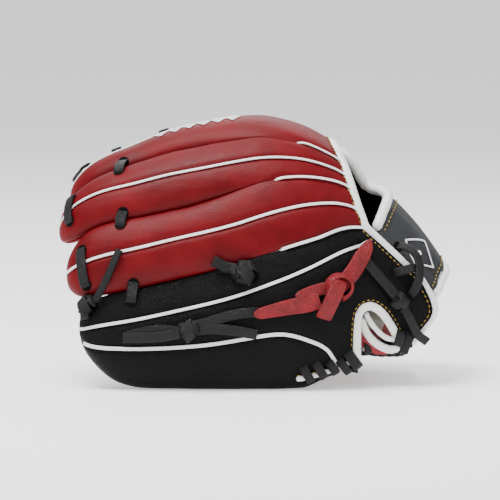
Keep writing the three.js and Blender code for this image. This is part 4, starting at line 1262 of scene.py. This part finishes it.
stitched(*beside_edge(WALL_EDGE[1:], -1, 4.3), FINGERS)
stitched(*beside_edge(NOTCH_EDGE[1:-1], -1, -4.0), FINGERS)
stitched(*beside_edge(NOTCH_EDGE[1:-1], 1, -4.0), THUMB)
stitched(*beside_edge(REAR_EDGE, 1, 4.9), THUMB)
for edge, offset, turns in [(strap_front, 4.4, np.linspace(-44, 8, 60)),
                            (strap_rear, -4.6, np.linspace(-72, 8, 70))]:
    x = edge(turns) + offset
    stitched(strap_point(x, turns, STRAP + 0.45), arch_normal(x, turns), None)
stitched(lower_roll + np.array([0.0, -1.2, 2.2]), np.tile([0.0, -1.0, 0.3], (len(lower_roll), 1)), FINGERS)

# ---- the web between the index finger and the thumb ----
def web_top(w):
    return -113 + 21 * w


def web_point(x, w, depth):
    turn = index_edge(x) + 1.4 + (thumb_inner(x) - index_edge(x) - 2.8) * w
    return place(x, turn, depth)


def web_sheet(name, x_from, x_to, w_from, w_to, node, rows=60, columns=30):
    f, v = np.linspace(0, 1, rows)[:, None], np.linspace(0, 1, columns)[None, :]
    w = w_from + (w_to - w_from) * v + 0 * f
    start = x_from(w) if callable(x_from) else x_from + 0 * w
    end = x_to(w) if callable(x_to) else x_to + 0 * w
    x = start + (end - start) * f
    wide = (thumb_inner(x) - index_edge(x)) * mm_per_degree(x, WEB_TURN) * (w_to - w_from)
    near = np.minimum.reduce([(x - start), (end - x), v * wide, (1 - v) * wide])
    soft = np.sqrt(np.clip(near / 2.2, 0, 1) * (2 - np.clip(near / 2.2, 0, 1)))
    soft = soft + 0.35 * ripple(x * 1.6, w * 60)
    points, faces = sheet_mesh(web_point(x, w, 10.3 - 1.2 * soft), web_point(x, w, 11.9 + 1.0 * soft))
    add_mesh(name, points, faces, BLACK, THUMB, [node], "black_leather")
    for share in (0.16, 0.84):
        line_x = np.linspace(float(np.min(start)) + 8, float(np.max(end)) - 3, 60)
        line_w = w_from + (w_to - w_from) * share
        if line_x[-1] - line_x[0] > 30:
            path = web_point(line_x, line_w, 8.85)
            stitched(path, arch_normal(line_x, WEB_TURN + 0 * line_x), THUMB)


web_sheet("web_index_post_leather", web_top, -14.0, 0.0, 0.3, "web_index_post", rows=120)
web_sheet("web_thumb_post_leather", web_top, -14.0, 0.7, 1.0, "web_thumb_post", rows=120)
web_sheet("web_top_bar_leather", web_top, lambda w: web_top(w) + 20, 0.31, 0.69, "web_top_bar")
web_sheet("web_middle_bar_leather", -70.0, -48.0, 0.31, 0.69, "web_middle_bar")
web_sheet("web_base_leather", -32.0, -14.0, 0.31, 0.69, "web_base", rows=40)


def web_lace(a, b, lift=1.6, width=5.6):
    """A flat lace over the web between two (x, share) spots, ending in both."""
    f = np.array([-0.02, 0.03, 0.25, 0.5, 0.75, 0.97, 1.02])
    rise = np.array([-2.0, lift * 0.8, lift + 0.5, lift + 0.7, lift + 0.5, lift * 0.8, -2.0])
    x, w = a[0] + (b[0] - a[0]) * f, a[1] + (b[1] - a[1]) * f
    points = web_point(x, w, 9.3 - rise)
    return (points, arch_normal(x, WEB_TURN + 0 * x)), {"width": width, "thick": 1.9, "sides": 14}


web_spans = []
for x in (-88.0, -76.0, -46.0):
    web_spans += [web_lace((x, 0.24), (x + 9, 0.76)), web_lace((x + 9, 0.24), (x, 0.76), 3.0)]
for x, end in [(-98.0, 0.42), (-64.0, 0.42), (-54.0, 0.42), (-27.0, 0.42), (-19.0, 0.42)]:
    web_spans += [web_lace((x, 0.2), (x, end), 1.4), web_lace((x + 1.5, 1 - end), (x + 1.5, 0.8), 1.4)]
lace("web_cross_lacing", web_spans, THUMB)
for i, x in enumerate((-86.0, -66.0, -46.0, -27.0)):
    inner = float(thumb_inner(x))
    short_lace(f"thumb_web_lace_{i + 1}", (x, inner - 4.6), (x + 1.5, inner + 5.4), None, body=THUMB,
               finder=on_turn)
for i, (x, z) in enumerate([(-80.0, 62.0), (-64.0, 60.0)]):
    turn = turn_for_height(x, z, 1)
    short_lace(f"thumb_side_lace_{i + 1}", (x, turn), (x + 13.0, turn + 1.0), None, body=THUMB,
               finder=on_turn)

for runs, material, kind in [(stitch_runs, GOLD_THREAD, "gold"), (dark_runs, BLACK_THREAD, "dark")]:
    for body, label in [(FINGERS, "fingers"), (THUMB, "thumb"), (None, "strap")]:
        if runs[body]:
            piece = add_mesh(f"{kind}_stitches_{label}", *joined_mesh(runs[body]), material, body, (), "lace")
            if body is None:
                across_fold(piece)

# The near-black discs at the lace holes: painted shade of the holes.
for body, label in [(FINGERS, "fingers"), (THUMB, "thumb")]:
    add_mesh(f"hole_shade_discs_{label}", *joined_mesh(hole_shade_marks[body]), PAINTED_HOLE_SHADE, body, (), "lace", sharp=80)

# ---- embroidery: generic shapes only ----
def satin(outline, lay, width=1.5, thick=0.7):
    """A raised satin-stitched outline; lay turns flat (along, across) spots into points and normals."""
    corners = list(outline) + [outline[0]]
    spots = []
    for a, b in zip(corners, corners[1:]):
        spots += [(a[0] + (b[0] - a[0]) * t, a[1] + (b[1] - a[1]) * t) for t in np.linspace(0, 1, 14)[:-1]]
    spots.append(corners[-1])
    points, normals = lay(np.array(spots))
    section = ring_section(10, width / 2, thick / 2, 3)
    side = np.cross(unit(np.gradient(points, axis=0)), normals)
    return swept_mesh(points, side, normals, section[None, :, 0], section[None, :, 1])


def strap_lay(spots):
    turns, share = spots[:, 0], spots[:, 1]
    x = strap_front(turns) + (strap_rear(turns) - strap_front(turns)) * share
    return strap_point(x, turns, STRAP + 0.75), arch_normal(x, turns)


emblem = [satin([(-39 + 14 * a * k, 0.61 + 0.22 * b * k) for a, b in [(1, 0), (0, 1), (-1, 0), (0, -1)]],
                strap_lay, w) for k, w in [(1.0, 1.5), (0.10, 1.6)]]
across_fold(add_mesh("strap_emblem", *joined_mesh(emblem), WHITE_THREAD, None, (), "white_leather"))


def index_lay(spots):
    return surface(spots[:, 0], spots[:, 1], 0.35), surface_normal(spots[:, 0], spots[:, 1])


diamonds = []
for x in np.linspace(-62, -12, 6):
    for k, w in [(1.0, 1.9), (0.42, 1.8)]:
        diamonds.append(satin([(x + 4.6 * k, -3.0), (x, -3.0 + 4.4 * k), (x - 4.6 * k, -3.0),
                               (x, -3.0 - 4.4 * k)],
                              index_lay, w))
add_mesh("index_embroidery", *joined_mesh(diamonds), WHITE_THREAD, FINGERS, (), "white_leather")
